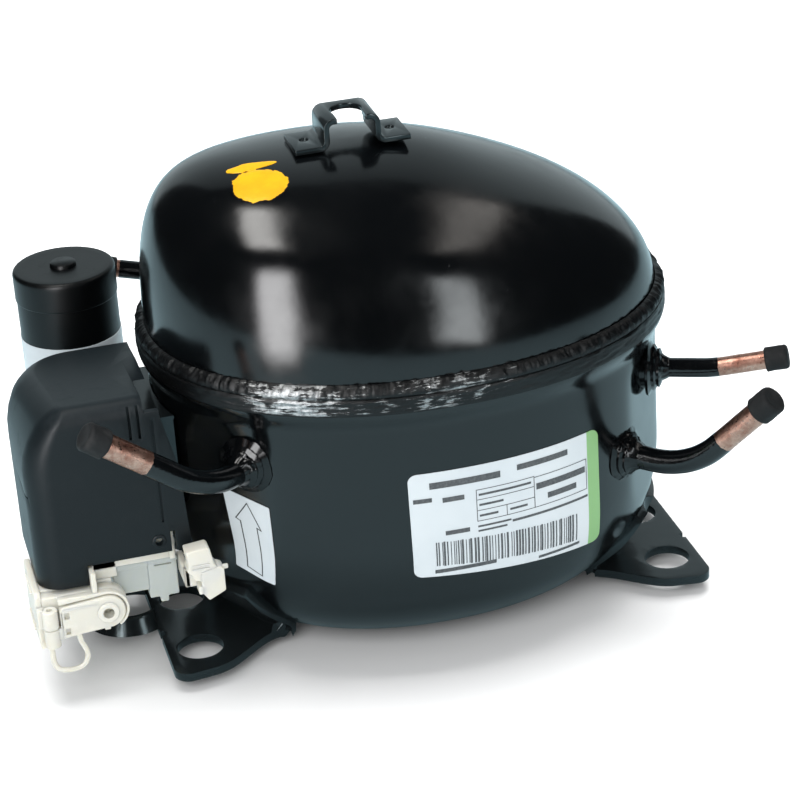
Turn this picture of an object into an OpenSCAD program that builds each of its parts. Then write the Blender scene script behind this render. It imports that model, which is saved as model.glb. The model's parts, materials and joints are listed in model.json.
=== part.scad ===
// Hermetic reciprocating compressor of a small refrigeration circuit, with its start gear.
// Millimetres, +Z up. The origin is the centre of the four mounting holes, on the underside
// of the base plates. The electrical side is at -X and the rating label faces -Y.

/* [Shell] */
// Half length of the shell wall along X
shell_a = 88.6; // [87:0.2:90]
// Half width of the shell wall along Y
shell_b = 73; // [72:0.2:74.4]
// X of the shell's own centre, seen from the mounting holes
shell_x = 2; // [1.6:0.2:2.4]
// Roundness of the plan outline: 2 is an ellipse, more is squarer
shell_pow = 2.12; // [2.08:0.02:2.2]
// Thickness of the pressed steel shell
shell_t = 3; // [2.6:0.1:3]
// Lowest point of the shell, below the base plates
shell_low = -4.5; // [-5:0.1:-4]
// Radius where the wall turns into the bottom
corner_r = 50; // [49.5:0.5:51]
// Underside of the flared rim
rim_z = 99; // [98.6:0.1:99.4]
// Top of the flared rim
rim_top = 104; // [103.6:0.2:104.4]
// How far the rim stands out from the wall
rim_flare = 3.2; // [3.2:0.1:3.6]

/* [Upper cover] */
// Height of the dome above the rim
lid_h = 61.5; // [61.2:0.1:62.5]
// X of the dome's highest point
lid_apex_x = -16; // [-17:0.5:-15]

/* [Base plates] */
// Distance between mounting holes along X
hole_dx = 170; // [168:0.5:170]
// Distance between mounting holes along Y
hole_dy = 70; // [68:0.5:70]
// Diameter of a mounting hole, for a rubber grommet
hole_d = 16; // [14:0.5:16.5]
// Thickness of a base plate
plate_t = 3; // [2.5:0.1:3]
// X of the straight outer edge of a plate
plate_edge_x = 96.4; // [95.6:0.2:97]

/* [Tube stubs] */
// Outside diameter of the suction and process tubes
wide_tube_d = 8; // [7.5:0.1:8.1]
// Outside diameter of the discharge and service tubes
thin_tube_d = 6.5; // [6.2:0.1:6.6]
// Wall thickness of the copper tubes
tube_t = 0.75; // [0.6:0.05:0.75]
// Suction: angle round the shell, height, heading and roll of its bend
suction_at = [215.7, 76, 226, -39.5];
// Suction: straight start, bend radius, bend angle, straight end
suction_bend = [4, 31.6, 51.9, 32.7];
// Process: angle round the shell, height, heading and roll of its bend
process_at = [-40.5, 57.5, -47.9, 4];
// Process: straight start, bend radius, bend angle, straight end
process_bend = [10.2, 32.3, 46.8, 27.5];
// Discharge: angle round the shell, height, heading and roll of its bend
discharge_at = [-24.8, 79.6, -23.9, 0];
// Discharge: straight start, bend radius, bend angle, straight end
discharge_bend = [16.1, 49.4, 10.4, 19.8];
// Service: angle round the shell, height, heading and roll of its bend
service_at = [122.7, 88, 120, 75];
// Service: straight start, bend radius, bend angle, straight end
service_bend = [6, 24, 50, 31];
// Length of a rubber plug
plug_len = 8; // [7:0.5:10]

/* [Pump] */
// Crank throw; the piston stroke is twice this
throw = 8; // [7:0.5:8]
// Cylinder bore diameter
bore_d = 24; // [22:0.5:24]
// Height of the cylinder axis
bore_z = 116; // [115.5:0.5:116.5]
// Running clearance on a radius
run_gap = 0.03; // [0.02:0.01:0.06]

/* [Motor] */
// Side of the square lamination stack
stator_w = 96; // [94:1:96]
// Underside of the lamination stack
stator_z = 26; // [25.5:0.5:26]
// Height of the lamination stack
stator_h = 36; // [34:1:36]
// Rotor diameter
rotor_d = 54; // [52:1:54]

/* [Electrical side] */
// Radius of the start capacitor
cap_r = 17.9; // [17:0.1:18]
// Centre of the start capacitor in plan
cap_xy = [-105.3, 62.7];
// Top of the start capacitor
cap_top = 110; // [108:0.5:112]
// Height of the start capacitor
cap_h = 85; // [78:1:86]
// Left face of the terminal cover
cover_x = -137; // [-137.5:0.5:-136.5]
// Front face of the terminal cover
cover_y = -40; // [-40.5:0.5:-40]
// Back face of the terminal cover
cover_back = 28; // [27:0.5:29]

/* [Hidden] */

$fn = 48;
e = 0.01;
ring_n = 64;                     // points round a shell section
gap = 0.05;                      // clearance between pieces that only touch
corner_steps = [0, 15, 30, 45, 60, 75, 90];
lid_steps = [0, 0.12, 0.25, 0.38, 0.5, 0.6, 0.7, 0.78, 0.85, 0.9, 0.94, 0.97, 0.985, 0.995];
lid_foot = rim_z - 0.5;          // lower edge of the upper cover's skirt
pocket_z = lid_foot - 0.1;       // shoulder inside the rim that the skirt rests on

// Upper cover profiles: [power, root] of the section scale on each side
left_curve = [2.96, 5.58];
right_curve = [2.19, 1.33];
side_curve = [2.29, 2.0];

collar_r = 7;                    // steel collar that a tube is brazed into
collar_out = 3;                  // how far a collar stands out of the wall
tube_in = 8;                     // how far a tube reaches inside the wall

shaft_r = 8;
pin_r = 7;
hub_r = 13;
hub_top = 100;
flange_z = 101;
flange_h = 4;
block_face_x = -56;              // outer end of the cylinder, from the shaft axis
block_inner_x = -28.5;
crown_x = block_face_x + 0.1 + 2 * throw;  // piston crown at the inner end of its stroke
slide_w = 22;                    // slide block along X
slide_l = 20;                    // slide block along Y
slide_h = 12;
yoke_z = bore_z - slide_h / 2;
valve_w = 40;
valve_t = 3;
gasket_t = 0.6;
head_t = 12.4;
reed_t = 0.3;
bolt_off = 16.4;                 // head bolts, from the cylinder axis
deck_z = 88;
deck_t = 8;
post_off = 38;                   // stator bolts and crankcase legs
spring_off = 32;
spring_low = 6.5;
spring_high = 21.5;
coil_r = 5.6;
wire_r = 0.9;
slot_count = 16;
term_y = -4;                     // hermetic terminal
term_z = 68;

// ---------- geometry helpers ----------

function spow(v, p) = sign(v) * pow(abs(v), p);

// Point of a superellipse with half axes a and b at parameter t
function oval(a, b, t) = [a * spow(cos(t), 2 / shell_pow), b * spow(sin(t), 2 / shell_pow)];

// One closed ring of points at height z
function ring(cx, a, b, z) = [
    for (i = [0:ring_n - 1]) let (p = oval(a, b, 360 * i / ring_n)) [cx + p.x, p.y, z]
];

// Ring of the shell wall, moved outwards by off
function wall_ring(off, z) = ring(shell_x, shell_a + off, shell_b + off, z);

// Point of the shell wall in the direction phi from its centre, moved outwards by off
function wall_at(phi, off = 0) =
    let (
        u = pow(abs(cos(phi)) / (shell_a + off), shell_pow),
        v = pow(abs(sin(phi)) / (shell_b + off), shell_pow),
        k = pow(u + v, -1 / shell_pow)
    ) [shell_x + k * cos(phi), k * sin(phi)];

// How far the wall has turned in at height z, for a corner of radius r above floor
function inset(z, r, floor) = let (h = min(r, z - floor)) r - sqrt(r * r - pow(r - h, 2));

// X of the shell's -X side at a given y
function wall_x(y, off = 0) =
    shell_x - (shell_a + off) * pow(1 - pow(abs(y) / (shell_b + off), shell_pow), 1 / shell_pow);

// Scale of a dome section at height share u
function dome(curve, u) =
    pow(max(0, 1 - pow(u, curve[0])), 1 / (curve[1] + max(0, 2 - curve[1]) * pow(u, 10)));

// Ring of the upper cover at height share u, moved inwards by t
function lid_ring(u, t) =
    let (
        xl = lid_apex_x - (lid_apex_x - shell_x + shell_a - t) * dome(left_curve, u),
        xr = lid_apex_x + (shell_x + shell_a - t - lid_apex_x) * dome(right_curve, u)
    ) ring((xl + xr) / 2, (xr - xl) / 2, (shell_b - t) * dome(side_curve, u),
           rim_top + (lid_h - t) * u);

function joined(lists) = [for (l = lists) for (p = l) p];

// Triangles between ring k and ring k + 1 of n points each
function band(k, n) = joined([
    for (i = [0:n - 1]) let (j = (i + 1) % n)
        [[k * n + i, k * n + n + i, k * n + j], [k * n + j, k * n + n + i, k * n + n + j]]
]);

// Closed solid through a list of rings, with a point closing each end
module skin(rings, tip_a, tip_b) {
    n = len(rings[0]);
    m = len(rings);
    faces = joined([
        joined([for (k = [0:m - 2]) band(k, n)]),
        [for (i = [0:n - 1]) [n * m, i, (i + 1) % n]],
        [for (i = [0:n - 1]) [n * m + 1, n * (m - 1) + (i + 1) % n, n * (m - 1) + i]]
    ]);
    polyhedron(concat(joined(rings), [tip_a, tip_b]), faces, convexity = 8);
}

// Closed ring-shaped solid: the last ring joins the first
module skin_loop(rings) {
    n = len(rings[0]);
    m = len(rings);
    faces = joined([
        for (k = [0:m - 1]) let (next = (k + 1) % m)
            joined([for (i = [0:n - 1]) let (j = (i + 1) % n)
                [[k * n + i, next * n + i, k * n + j], [k * n + j, next * n + i, next * n + j]]])
    ]);
    polyhedron(joined(rings), faces, convexity = 8);
}

// Solid sheet between two equal grids of points, outer first
module sheet(outer, inner) {
    rows = len(outer);
    cols = len(outer[0]);
    n = rows * cols;
    quads = joined([
        for (r = [0:rows - 2]) for (c = [0:cols - 2]) let (i = r * cols + c)
            [[[i, i + 1, i + cols], [i + 1, i + cols + 1, i + cols],
              [n + i, n + i + cols, n + i + 1], [n + i + 1, n + i + cols, n + i + cols + 1]]]
    ]);
    edge = concat(
        [for (c = [0:cols - 1]) c],
        [for (r = [1:rows - 1]) r * cols + cols - 1],
        [for (c = [cols - 2:-1:0]) (rows - 1) * cols + c],
        [for (r = [rows - 2:-1:1]) r * cols]
    );
    m = len(edge);
    rim = joined([
        for (k = [0:m - 1]) let (a = edge[k], b = edge[(k + 1) % m])
            [[a, n + a, b], [b, n + a, n + b]]
    ]);
    polyhedron(concat(joined(outer), joined(inner)), concat(joined(quads), rim), convexity = 4);
}

// Round wire of radius r through points; side is never parallel to the wire
module wire(points, r, side, sides = 8) {
    m = len(points);
    rings = [
        for (i = [0:m - 1]) let (
            t = points[min(i + 1, m - 1)] - points[max(i - 1, 0)],
            u = cross(side, t) / norm(cross(side, t)),
            v = cross(t, u) / norm(t)
        ) [for (k = [0:sides - 1]) points[i] + r * (u * cos(360 * k / sides) + v * sin(360 * k / sides))]
    ];
    skin(rings, points[0], points[m - 1]);
}

// Cylinder along +X, starting at x = 0
module rod(r, h) {
    rotate([0, 90, 0])
        cylinder(r = r, h = h);
}

// Washer-like ring along +X, starting at x = 0
module collar_ring(r_out, r_in, h) {
    difference() {
        rod(r_out, h);
        translate([-1, 0, 0])
            rod(r_in, h + 2);
    }
}

// Box centred in Y, from [x0, z0] to [x1, z1]
module slab(x0, x1, width, z0, z1) {
    translate([x0, -width / 2, z0])
        cube([x1 - x0, width, z1 - z0]);
}

// Places children at the four corners of a square
module at_corners(off) {
    for (sx = [-1, 1])
        for (sy = [-1, 1])
            translate([sx * off, sy * off, 0])
                children();
}

// The pump and motor share the shaft axis, which is the shell's own centre
module on_shaft() {
    translate([shell_x, 0, 0])
        children();
}

// ---------- tube stubs ----------

// +X of the children leaves the shell, and their +Z is the side the tube bends to
module at_port(at) {
    p = wall_at(at[0]);
    translate([p.x, p.y, at[1]])
        rotate([0, 0, at[2]])
            rotate([-at[3], 0, 0])
                children();
}

// +X of the children runs along the straight end of a stub, in the port's own frame
module to_bend_end(bend) {
    translate([bend[0] + bend[1] * sin(bend[2]), 0, bend[1] * (1 - cos(bend[2]))])
        rotate([0, -bend[2], 0])
            children();
}

module after_bend(at, bend) {
    at_port(at)
        to_bend_end(bend)
            children();
}

// Copper tube: a straight start, a bend and a straight end. The bend is drawn a hair
// thinner in its wall, so that the straight ends meet it in clean circles.
module stub(at, bend, d) {
    hair = 0.02;
    color([0.72, 0.42, 0.3])
        at_port(at)
            difference() {
                stub_rod(bend, d / 2, d / 2 - hair, 0);
                stub_rod(bend, d / 2 - tube_t, d / 2 - tube_t + hair, 1);
            }
}

// Solid rod along a stub's path in the port's own frame; over lengthens both ends
module stub_rod(bend, r, bend_r, over) {
    lap = 0.3;
    translate([-tube_in - over, 0, 0])
        rod(r, tube_in + over + bend[0] + lap);
    translate([bend[0], 0, bend[1]])
        rotate([0, 90, 0])
            rotate([90, 0, 0])
                rotate_extrude(angle = bend[2], $fn = 96)
                    translate([bend[1], 0])
                        circle(r = bend_r);
    to_bend_end(bend)
        translate([-lap, 0, 0])
            rod(r, bend[3] + over + lap);
}

module plug(at, bend, d) {
    wall = 0.9;
    end_t = 2;
    color([0.1, 0.1, 0.1])
        after_bend(at, bend)
            translate([bend[3] - plug_len + end_t, 0, 0])
                difference() {
                    rod(d / 2 + wall, plug_len);
                    translate([-1, 0, 0])
                        rod(d / 2 + run_gap, plug_len - end_t + 1 + gap);
                }
}

module suction_tube() stub(suction_at, suction_bend, wide_tube_d);
module process_tube() stub(process_at, process_bend, wide_tube_d);
module discharge_tube() stub(discharge_at, discharge_bend, thin_tube_d);
module service_tube() stub(service_at, service_bend, thin_tube_d);
module suction_plug() plug(suction_at, suction_bend, wide_tube_d);
module process_plug() plug(process_at, process_bend, wide_tube_d);
module discharge_plug() plug(discharge_at, discharge_bend, thin_tube_d);
module service_plug() plug(service_at, service_bend, thin_tube_d);

// Steel collars brazed into the wall, each with a rolled lip outside
module tube_collars() {
    ports = [
        [suction_at, wide_tube_d], [process_at, wide_tube_d],
        [discharge_at, thin_tube_d], [service_at, thin_tube_d]
    ];
    color([0.09, 0.1, 0.11])
        for (p = ports)
            at_port(p[0])
                translate([-6, 0, 0])
                    difference() {
                        union() {
                            rod(collar_r, 6 + collar_out - 1);
                            translate([6 + collar_out - 1, 0, 0])
                                rod(collar_r - 1.2, 1);
                        }
                        translate([-1, 0, 0])
                            rod(p[1] / 2 + gap, 9 + collar_out);
                    }
}

// ---------- shell ----------

module lower_housing() {
    inner_r = corner_r - shell_t;
    inner_low = shell_low + shell_t;
    rings = concat(
        [for (f = corner_steps)
            wall_ring(corner_r * (sin(f) - 1), shell_low + corner_r * (1 - cos(f)))],
        [
            wall_ring(0, rim_z - 3.2), wall_ring(rim_flare, rim_z),
            wall_ring(rim_flare, rim_top - 0.8), wall_ring(rim_flare - 0.8, rim_top),
            wall_ring(0.1, rim_top), wall_ring(0.1, pocket_z), wall_ring(-shell_t, pocket_z)
        ],
        [for (i = [len(corner_steps) - 1:-1:0]) let (f = corner_steps[i])
            wall_ring(inner_r * (sin(f) - 1) - shell_t, inner_low + inner_r * (1 - cos(f)))]
    );
    color([0.06, 0.065, 0.07])
        difference() {
            skin(rings, [shell_x, 0, shell_low], [shell_x, 0, inner_low]);
            for (at = [suction_at, process_at, discharge_at, service_at])
                at_port(at)
                    translate([-12, 0, 0])
                        rod(collar_r + gap, 24);
            translate([wall_x(0) - 8, term_y, term_z])
                rod(16, 16);
        }
}

module upper_cover() {
    outer = [for (u = lid_steps) lid_ring(u, 0)];
    inner = [for (i = [len(lid_steps) - 1:-1:0]) lid_ring(lid_steps[i], shell_t)];
    skirt_out = [for (p = outer[0]) [p.x, p.y, lid_foot]];
    skirt_in = [for (p = inner[len(inner) - 1]) [p.x, p.y, lid_foot]];
    color([0.06, 0.065, 0.07])
        skin(concat(inner, [skirt_in, skirt_out], outer),
             [lid_apex_x, 0, rim_top + lid_h - shell_t], [lid_apex_x, 0, rim_top + lid_h]);
}

// Weld bead that fills the groove between rim and upper cover
module weld_bead() {
    color([0.12, 0.12, 0.12])
        skin_loop([
            wall_ring(gap, rim_top + 3.6), wall_ring(gap, rim_top + gap),
            wall_ring(rim_flare - 0.9, rim_top + gap), wall_ring(rim_flare - 0.6, rim_top + 1.2),
            wall_ring(rim_flare - 1.4, rim_top + 2.8)
        ]);
}

// Hat-shaped strap on the dome that holds a drip tray
module tray_bracket() {
    z0 = rim_top + lid_h + gap;
    t = 2;
    w = 17.5;
    hat_h = 11;
    color([0.1, 0.1, 0.11])
        translate([0, -1.5, 0])
            difference() {
                union() {
                    slab(-32.5, -20.5, w, z0, z0 + t);
                    slab(-3, 7, w, z0, z0 + t);
                    slab(-22.5, -20.5, w, z0, z0 + hat_h);
                    slab(-5, -3, w, z0, z0 + hat_h);
                    slab(-22.5, -3, w, z0 + hat_h - t, z0 + hat_h);
                }
                // round cut-out, open towards the front
                translate([-12.75, -1, z0 + hat_h - t - 1]) {
                    cylinder(r = 5.4, h = t + 2);
                    translate([-4.9, -w, 0])
                        cube([9.8, w - 2, t + 2]);
                }
            }
}

// ---------- base plates ----------

// Outline of the right-hand plate, for a shell centred at cx; its inner edge follows the shell
module plate_outline(cx) {
    clear = 0.3;
    depth = inset(plate_t, corner_r, shell_low) - clear;
    corner = 10;
    half = 52.6;
    inner = [for (i = [-8:8]) oval(shell_a - depth, shell_b - depth, i * 5) + [cx, 0]];
    outer_arc = [
        for (i = [0:8])
            corner * [cos(i * 11.25), sin(i * 11.25)] + [plate_edge_x - corner, half - corner]
    ];
    waist = [for (i = [0:8]) [84 - 30 * i / 8, 43 + 9.5 * cos(180 * i / 8)]];
    side = concat(outer_arc, waist);
    difference() {
        polygon(concat(
            [for (i = [len(side) - 1:-1:0]) [side[i].x, -side[i].y]],
            side,
            [for (i = [len(inner) - 1:-1:0]) inner[i]]
        ));
        translate([plate_edge_x, -22])
            circle(r = 1.6);
    }
}

// Part of the shell's surface at height z on its +X side, moved outwards by off
function saddle_row(cx, z, off) = [
    for (i = [-8:8]) let (
        d = inset(z, corner_r, shell_low) - off,
        p = oval(shell_a - d, shell_b - d, i * 4.4)
    ) [cx + p.x, p.y, z]
];

// A plate is stamped in one piece with the saddle that carries it up the curved shell
module base_plate(cx) {
    heights = [24, 20, 16, 12, 8, plate_t - 0.5];
    color([0.07, 0.075, 0.08])
        difference() {
            union() {
                linear_extrude(plate_t)
                    plate_outline(cx);
                sheet([for (z = heights) saddle_row(cx, z, plate_t)],
                      [for (z = heights) saddle_row(cx, z, 0.3)]);
            }
            for (y = [-hole_dy / 2, 0, hole_dy / 2])
                translate([hole_dx / 2, y, -1])
                    cylinder(r = hole_d / 2, h = plate_t + 20);
        }
}

module base_plate_right() base_plate(shell_x);

// The left plate also carries a round drawn collar, open in the middle, on its outer edge
module base_plate_left() {
    low_r = 15.4;
    top_r = 12.4;
    high = 5.8;
    wall = 1.6;
    mirror([1, 0, 0])
        base_plate(-shell_x);
    color([0.07, 0.075, 0.08])
        intersection() {
            translate([-103.7, 0, 0])
                difference() {
                    cylinder(r1 = low_r, r2 = top_r, h = high);
                    translate([0, 0, -e])
                        cylinder(r1 = low_r - wall, r2 = top_r - wall, h = high + 2 * e);
                }
            translate([-130, -20, 0])
                cube([130 - plate_edge_x + 0.3, 40, high]);
        }
}

// ---------- labels ----------

// Point of the front wall at x and height z, moved outwards by off
function front_point(x, z, off) =
    let (
        a = shell_a - inset(z, corner_r, shell_low) + off,
        b = shell_b - inset(z, corner_r, shell_low) + off
    ) [x, -b * pow(1 - pow(abs(x - shell_x) / a, shell_pow), 1 / shell_pow), z];

module front_label(x0, x1, z0, z1, cols) {
    steps = [for (i = [0:cols]) x0 + (x1 - x0) * i / cols];
    heights = [for (i = [0:4]) z1 - (z1 - z0) * i / 4];
    sheet([for (z = heights) [for (x = steps) front_point(x, z, 0.45)]],
          [for (z = heights) [for (x = steps) front_point(x, z, 0.25)]]);
}

module rating_label() {
    color([0.86, 0.9, 0.92])
        front_label(-17, 51.5, 30.5, 74.5, 14);
}

module flow_arrow_label() {
    color([0.88, 0.91, 0.93])
        front_label(-75, -60.5, 31, 64, 6);
}

// ---------- electrical side ----------

terminal_spots = [for (a = [90, 210, 330]) [term_y + 7 * cos(a), term_z + 7 * sin(a)]];
cup_x = -90;

module terminal_body() {
    color([0.5, 0.5, 0.52])
        translate([cup_x, 0, 0])
            difference() {
                translate([0, term_y, term_z])
                    rod(16 - gap, 11);
                translate([2, term_y, term_z])
                    rod(14.4, 12);
                for (p = terminal_spots)
                    translate([-1, p[0], p[1]])
                        rod(2.7, 5);
            }
}

module terminal_glass() {
    color([0.2, 0.35, 0.3])
        for (p = terminal_spots)
            translate([cup_x, p[0], p[1]])
                collar_ring(2.7 - e, 1.5 + e, 3);
}

module terminal_pins() {
    color([0.7, 0.68, 0.6])
        for (p = terminal_spots)
            translate([cup_x - 9, p[0], p[1]])
                rod(1.5, 25);
}

// Sheet-steel frame round the terminal, welded to the shell
module terminal_fence() {
    t = 1.2;
    x0 = -95;
    y0 = -22;
    y1 = 20;
    z0 = 52;
    z1 = 85.4;
    color([0.1, 0.1, 0.11]) {
        translate([x0, y0, z0])
            cube([wall_x(y0 + t) - 0.4 - x0, t, z1 - z0]);
        translate([x0, y1 - t, z0])
            cube([wall_x(y1 - t) - 0.4 - x0, t, z1 - z0]);
        translate([0, 0, z1 - t])
            linear_extrude(t)
                polygon(concat(
                    [[x0, y1], [x0, y0]],
                    [for (i = [0:8]) let (y = y0 + (y1 - y0) * i / 8) [wall_x(y) - 0.4, y]]
                ));
    }
}

module earth_screw() {
    color([0.75, 0.65, 0.35])
        translate([-86.5, 45.8, 0]) {
            translate([0, 0, plate_t + 1.6])
                cylinder(r = 2.6, h = 2, $fn = 6);
            translate([0, 0, plate_t + gap])
                cylinder(r = 1.5, h = 1.6);
        }
}

module overload_protector() {
    color([0.12, 0.12, 0.13])
        difference() {
            translate([-113.5, term_y, term_z + 10.5]) {
                rod(10, 14);
                translate([-1.5, 0, 0])
                    rod(7, 1.5 + e);
            }
            translate([-102, terminal_spots[0][0], terminal_spots[0][1]])
                rod(1.6, 4);
        }
}

// Translucent relay body with its stepped lower edge
module start_relay() {
    color([0.85, 0.88, 0.88])
        difference() {
            union() {
                translate([-112, -34, 28])
                    cube([12.4, 44, 39.8]);
                translate([-99.7, -34, 24.6])
                    cube([10, 20, 21.4]);
                translate([-96.4, -34, 22.4])
                    cube([2.8, 6, 3]);
            }
            for (i = [1, 2])
                translate([-102, terminal_spots[i][0], terminal_spots[i][1]])
                    rod(1.6, 4);
        }
}

// Push-on connector beside the relay, in front of the shell
module relay_connector() {
    color([0.92, 0.91, 0.86]) {
        translate([-88.9, -50, 32])
            cube([9, 7, 17]);
        translate([-82.9, -49.5, 29])
            cube([6.5, 6, 14]);
        translate([-89.3, -46, 33])
            cube([6, 2.6, 7]);
        translate([-89.3, -46, 33])
            cube([2, 14, 7]);
    }
}

// Plan outline of the terminal cover, moved inwards by t
module cover_plan(t) {
    front_r = 8;
    back_r = 26;
    x1 = -80;
    polygon(concat(
        [[x1, cover_y + t]],
        [for (i = [0:6]) let (a = 270 - 15 * i)
            [cover_x + front_r, cover_y + front_r] + (front_r - t) * [cos(a), sin(a)]],
        [for (i = [0:8]) let (a = 180 - 11.25 * i)
            [cover_x + back_r, cover_back - back_r] + (back_r - t) * [cos(a), sin(a)]],
        [[x1, cover_back - t]]
    ));
}

// Volume below the sloping top and between the leaning left wall and the slanted right-hand
// edge; top and left wall are moved inwards by t, the right-hand edge outwards by reach
module cover_profile(t, reach) {
    slope = atan(8 / (cover_back - cover_y));
    intersection() {
        translate([0, cover_y, 102 - t])
            rotate([-slope, 0, 0])
                translate([-200, -10, -200])
                    cube([200, 120, 200]);
        translate([0, 60, 0])
            rotate([90, 0, 0])
                linear_extrude(120)
                    polygon([
                        [-150, 0], [reach - 84.6, 0], [reach - 84.6, 44], [reach - 86.3, 75],
                        [reach - 91, 95.5], [reach - 91, 97], [reach - 96, 97],
                        [reach - 96, 110], [t - 121, 110], [t - 125.5, 101.5],
                        [t - 131.5, 93], [t - 137.1, 80], [-150, 80]
                    ]);
    }
}

module terminal_cover() {
    t = 2;
    low = 37.5;
    step_x = -120.3;
    step_z = 44.6;
    color([0.12, 0.125, 0.13])
        difference() {
            intersection() {
                translate([0, 0, low])
                    linear_extrude(70)
                        cover_plan(0);
                cover_profile(0, 0);
            }
            intersection() {
                translate([0, 0, low - 1])
                    linear_extrude(70)
                        cover_plan(t);
                cover_profile(t, 10);
            }
            translate([step_x, cover_y - 1, low - 1])
                cube([60, 20, step_z - low + 1]);
            // latch slot, screw hole and moulded slots near the right-hand edge
            translate([-91.6, cover_y - 1, 41])
                cube([1.6, t + 2, 11]);
            translate([-95.6, cover_y - 1, 49])
                rotate([-90, 0, 0])
                    cylinder(r = 1.3, h = t + 2);
            for (x = [-101.5, -98.5])
                translate([x, cover_y - 1, 88])
                    cube([0.9, 1.8, 20]);
            translate([-94, cover_y - 1, 56])
                cube([0.8, 1.8, 16]);
        }
}

jaw_axis = [-135.2, -43.8];
boss = [-115.8, 28.7];           // X and Z of the clamp's screw

// Front outline of the clamp arm, moved outwards by off
module jaw_outline(off) {
    translate(boss)
        circle(r = 5.9 + off);
    polygon([
        [-132 - 3 * off, 21.5 - off], [-132 - 3 * off, 33.2 + off],
        [boss.x, boss.y + 5.9 + off], [boss.x, boss.y - 5.9 - off]
    ]);
}

// Plate, cord shelf and rim that hang below the terminal cover
module cord_clamp_base() {
    rim_r = 7.3;
    color([0.93, 0.9, 0.83]) {
        translate([-139.3, -41, 18])
            cube([2.2, 27, 20]);
        difference() {
            translate([-137.2, -37, 33.6])
                cube([24.5, 21, 3.4]);
            translate([-131, -31, 30])
                cube([12, 16, 10]);
        }
        translate([-120.2, -43.5, 35])
            cube([1.8, 21, 8.4]);
        translate([-118.5, -36.5, 36.9])
            cube([8, 1.8, 9.1]);
        translate([-118.5, -36.5, 40.4])
            cube([28, 1.8, 5.6]);
        translate([-92.4, -37.9, 40.4])
            cube([1.9, 3.2, 10.6]);
        translate([0, -36, 0])
            rotate([90, 0, 0])
                difference() {
                    linear_extrude(8)
                        intersection() {
                            union() {
                                translate(boss)
                                    circle(r = rim_r);
                                translate([-137.2, 22.4])
                                    square([137.2 + boss.x, boss.y + rim_r - 22.4]);
                            }
                            translate([-137.2, 22.4])
                                square([40, 20]);
                        }
                    translate([0, 0, 5.3])
                        linear_extrude(4)
                            jaw_outline(0.4);
                    translate([-150, 10, 5])
                        cube([18, 40, 4]);
                }
        difference() {
            union() {
                translate([jaw_axis.x, jaw_axis.y, 26])
                    cylinder(r = 2.6, h = 7);
                translate([-139.3, -43.8, 26])
                    cube([2.6, 4, 7]);
            }
            translate([jaw_axis.x, jaw_axis.y, 10])
                cylinder(r = 1 + gap, h = 40);
        }
    }
}

// Arm that presses the cord, with its hinge pin and its screw boss
module cord_clamp_jaw() {
    color([0.95, 0.93, 0.87]) {
        translate([jaw_axis.x, jaw_axis.y, 19]) {
            cylinder(r = 2.6, h = 6.8);
            cylinder(r = 1, h = 13);
        }
        translate([jaw_axis.x, jaw_axis.y - 1.2, 21.5])
            cube([4, 2.4, 4.2]);
        translate([0, -41.6, 0])
            rotate([90, 0, 0])
                difference() {
                    union() {
                        linear_extrude(3.4)
                            jaw_outline(0);
                        translate([boss.x, boss.y, 0])
                            cylinder(r = 3.7, h = 4.4);
                    }
                    translate([boss.x, boss.y, -1])
                        cylinder(r = 1.6, h = 10);
                }
    }
}

// Loop of nylon below the arm, from its hinge to its lower edge
module cord_clamp_strap() {
    line = [
        [-135.8, 18.9], [-135.9, 15], [-135.6, 12], [-134.4, 9.8], [-132, 8.8],
        [-128.8, 8.6], [-126.2, 9.4], [-124.7, 11.4], [-124.2, 13.8], [-124.9, 16.4],
        [-125.9, 19], [-126.3, 21.9]
    ];
    color([0.96, 0.95, 0.91])
        wire([for (p = line) [p.x, -43.3, p.y]], 0.85, [0, 1, 0]);
}

module start_capacitor() {
    color([0.07, 0.07, 0.08])
        translate([cap_xy.x, cap_xy.y, cap_top - cap_h])
            cylinder(r = cap_r, h = cap_h - 2 - gap, $fn = 96);
}

module capacitor_cap() {
    color([0.13, 0.14, 0.14])
        translate([cap_xy.x, cap_xy.y, cap_top - 11])
            difference() {
                union() {
                    cylinder(r = cap_r + 0.4, h = 11, $fn = 96);
                    cylinder(r = 4.7, h = 12.5);
                }
                translate([0, 0, -1])
                    cylinder(r = cap_r + gap, h = 10, $fn = 96);
            }
}

module capacitor_label() {
    color([0.86, 0.88, 0.9])
        translate([cap_xy.x, cap_xy.y, 48])
            rotate_extrude(angle = 330, start = 60, $fn = 96)
                translate([cap_r + e, 0])
                    square([0.2, 37]);
}

// Band round the capacitor, with a leg down to the left base plate
module capacitor_bracket() {
    t = 1.5;
    color([0.55, 0.56, 0.57]) {
        difference() {
            union() {
                translate([cap_xy.x, cap_xy.y, 33])
                    cylinder(r = cap_r + gap + t, h = 12);
                translate([-92, 48.5, plate_t + gap])
                    cube([10, t, 42 - gap]);
            }
            translate([cap_xy.x, cap_xy.y, 20])
                cylinder(r = cap_r + gap, h = 40);
        }
        difference() {
            translate([-92, 43.6, plate_t + gap])
                cube([10, 6, t]);
            translate([-86.5, 45.8, 0])
                cylinder(r = 1.6, h = 10);
        }
    }
}

// ---------- pump ----------

// Keeps a square casting inside the head's rounded outline
module head_outline(x0, x1) {
    intersection() {
        slab(x0, x1, valve_w, bore_z - valve_w / 2, bore_z + valve_w / 2);
        translate([x0 - 1, 0, bore_z])
            rod(27, x1 - x0 + 2);
    }
}

module at_head_bolts() {
    for (y = [-bolt_off, bolt_off])
        for (z = [-bolt_off, bolt_off])
            translate([0, y, bore_z + z])
                children();
}

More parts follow.
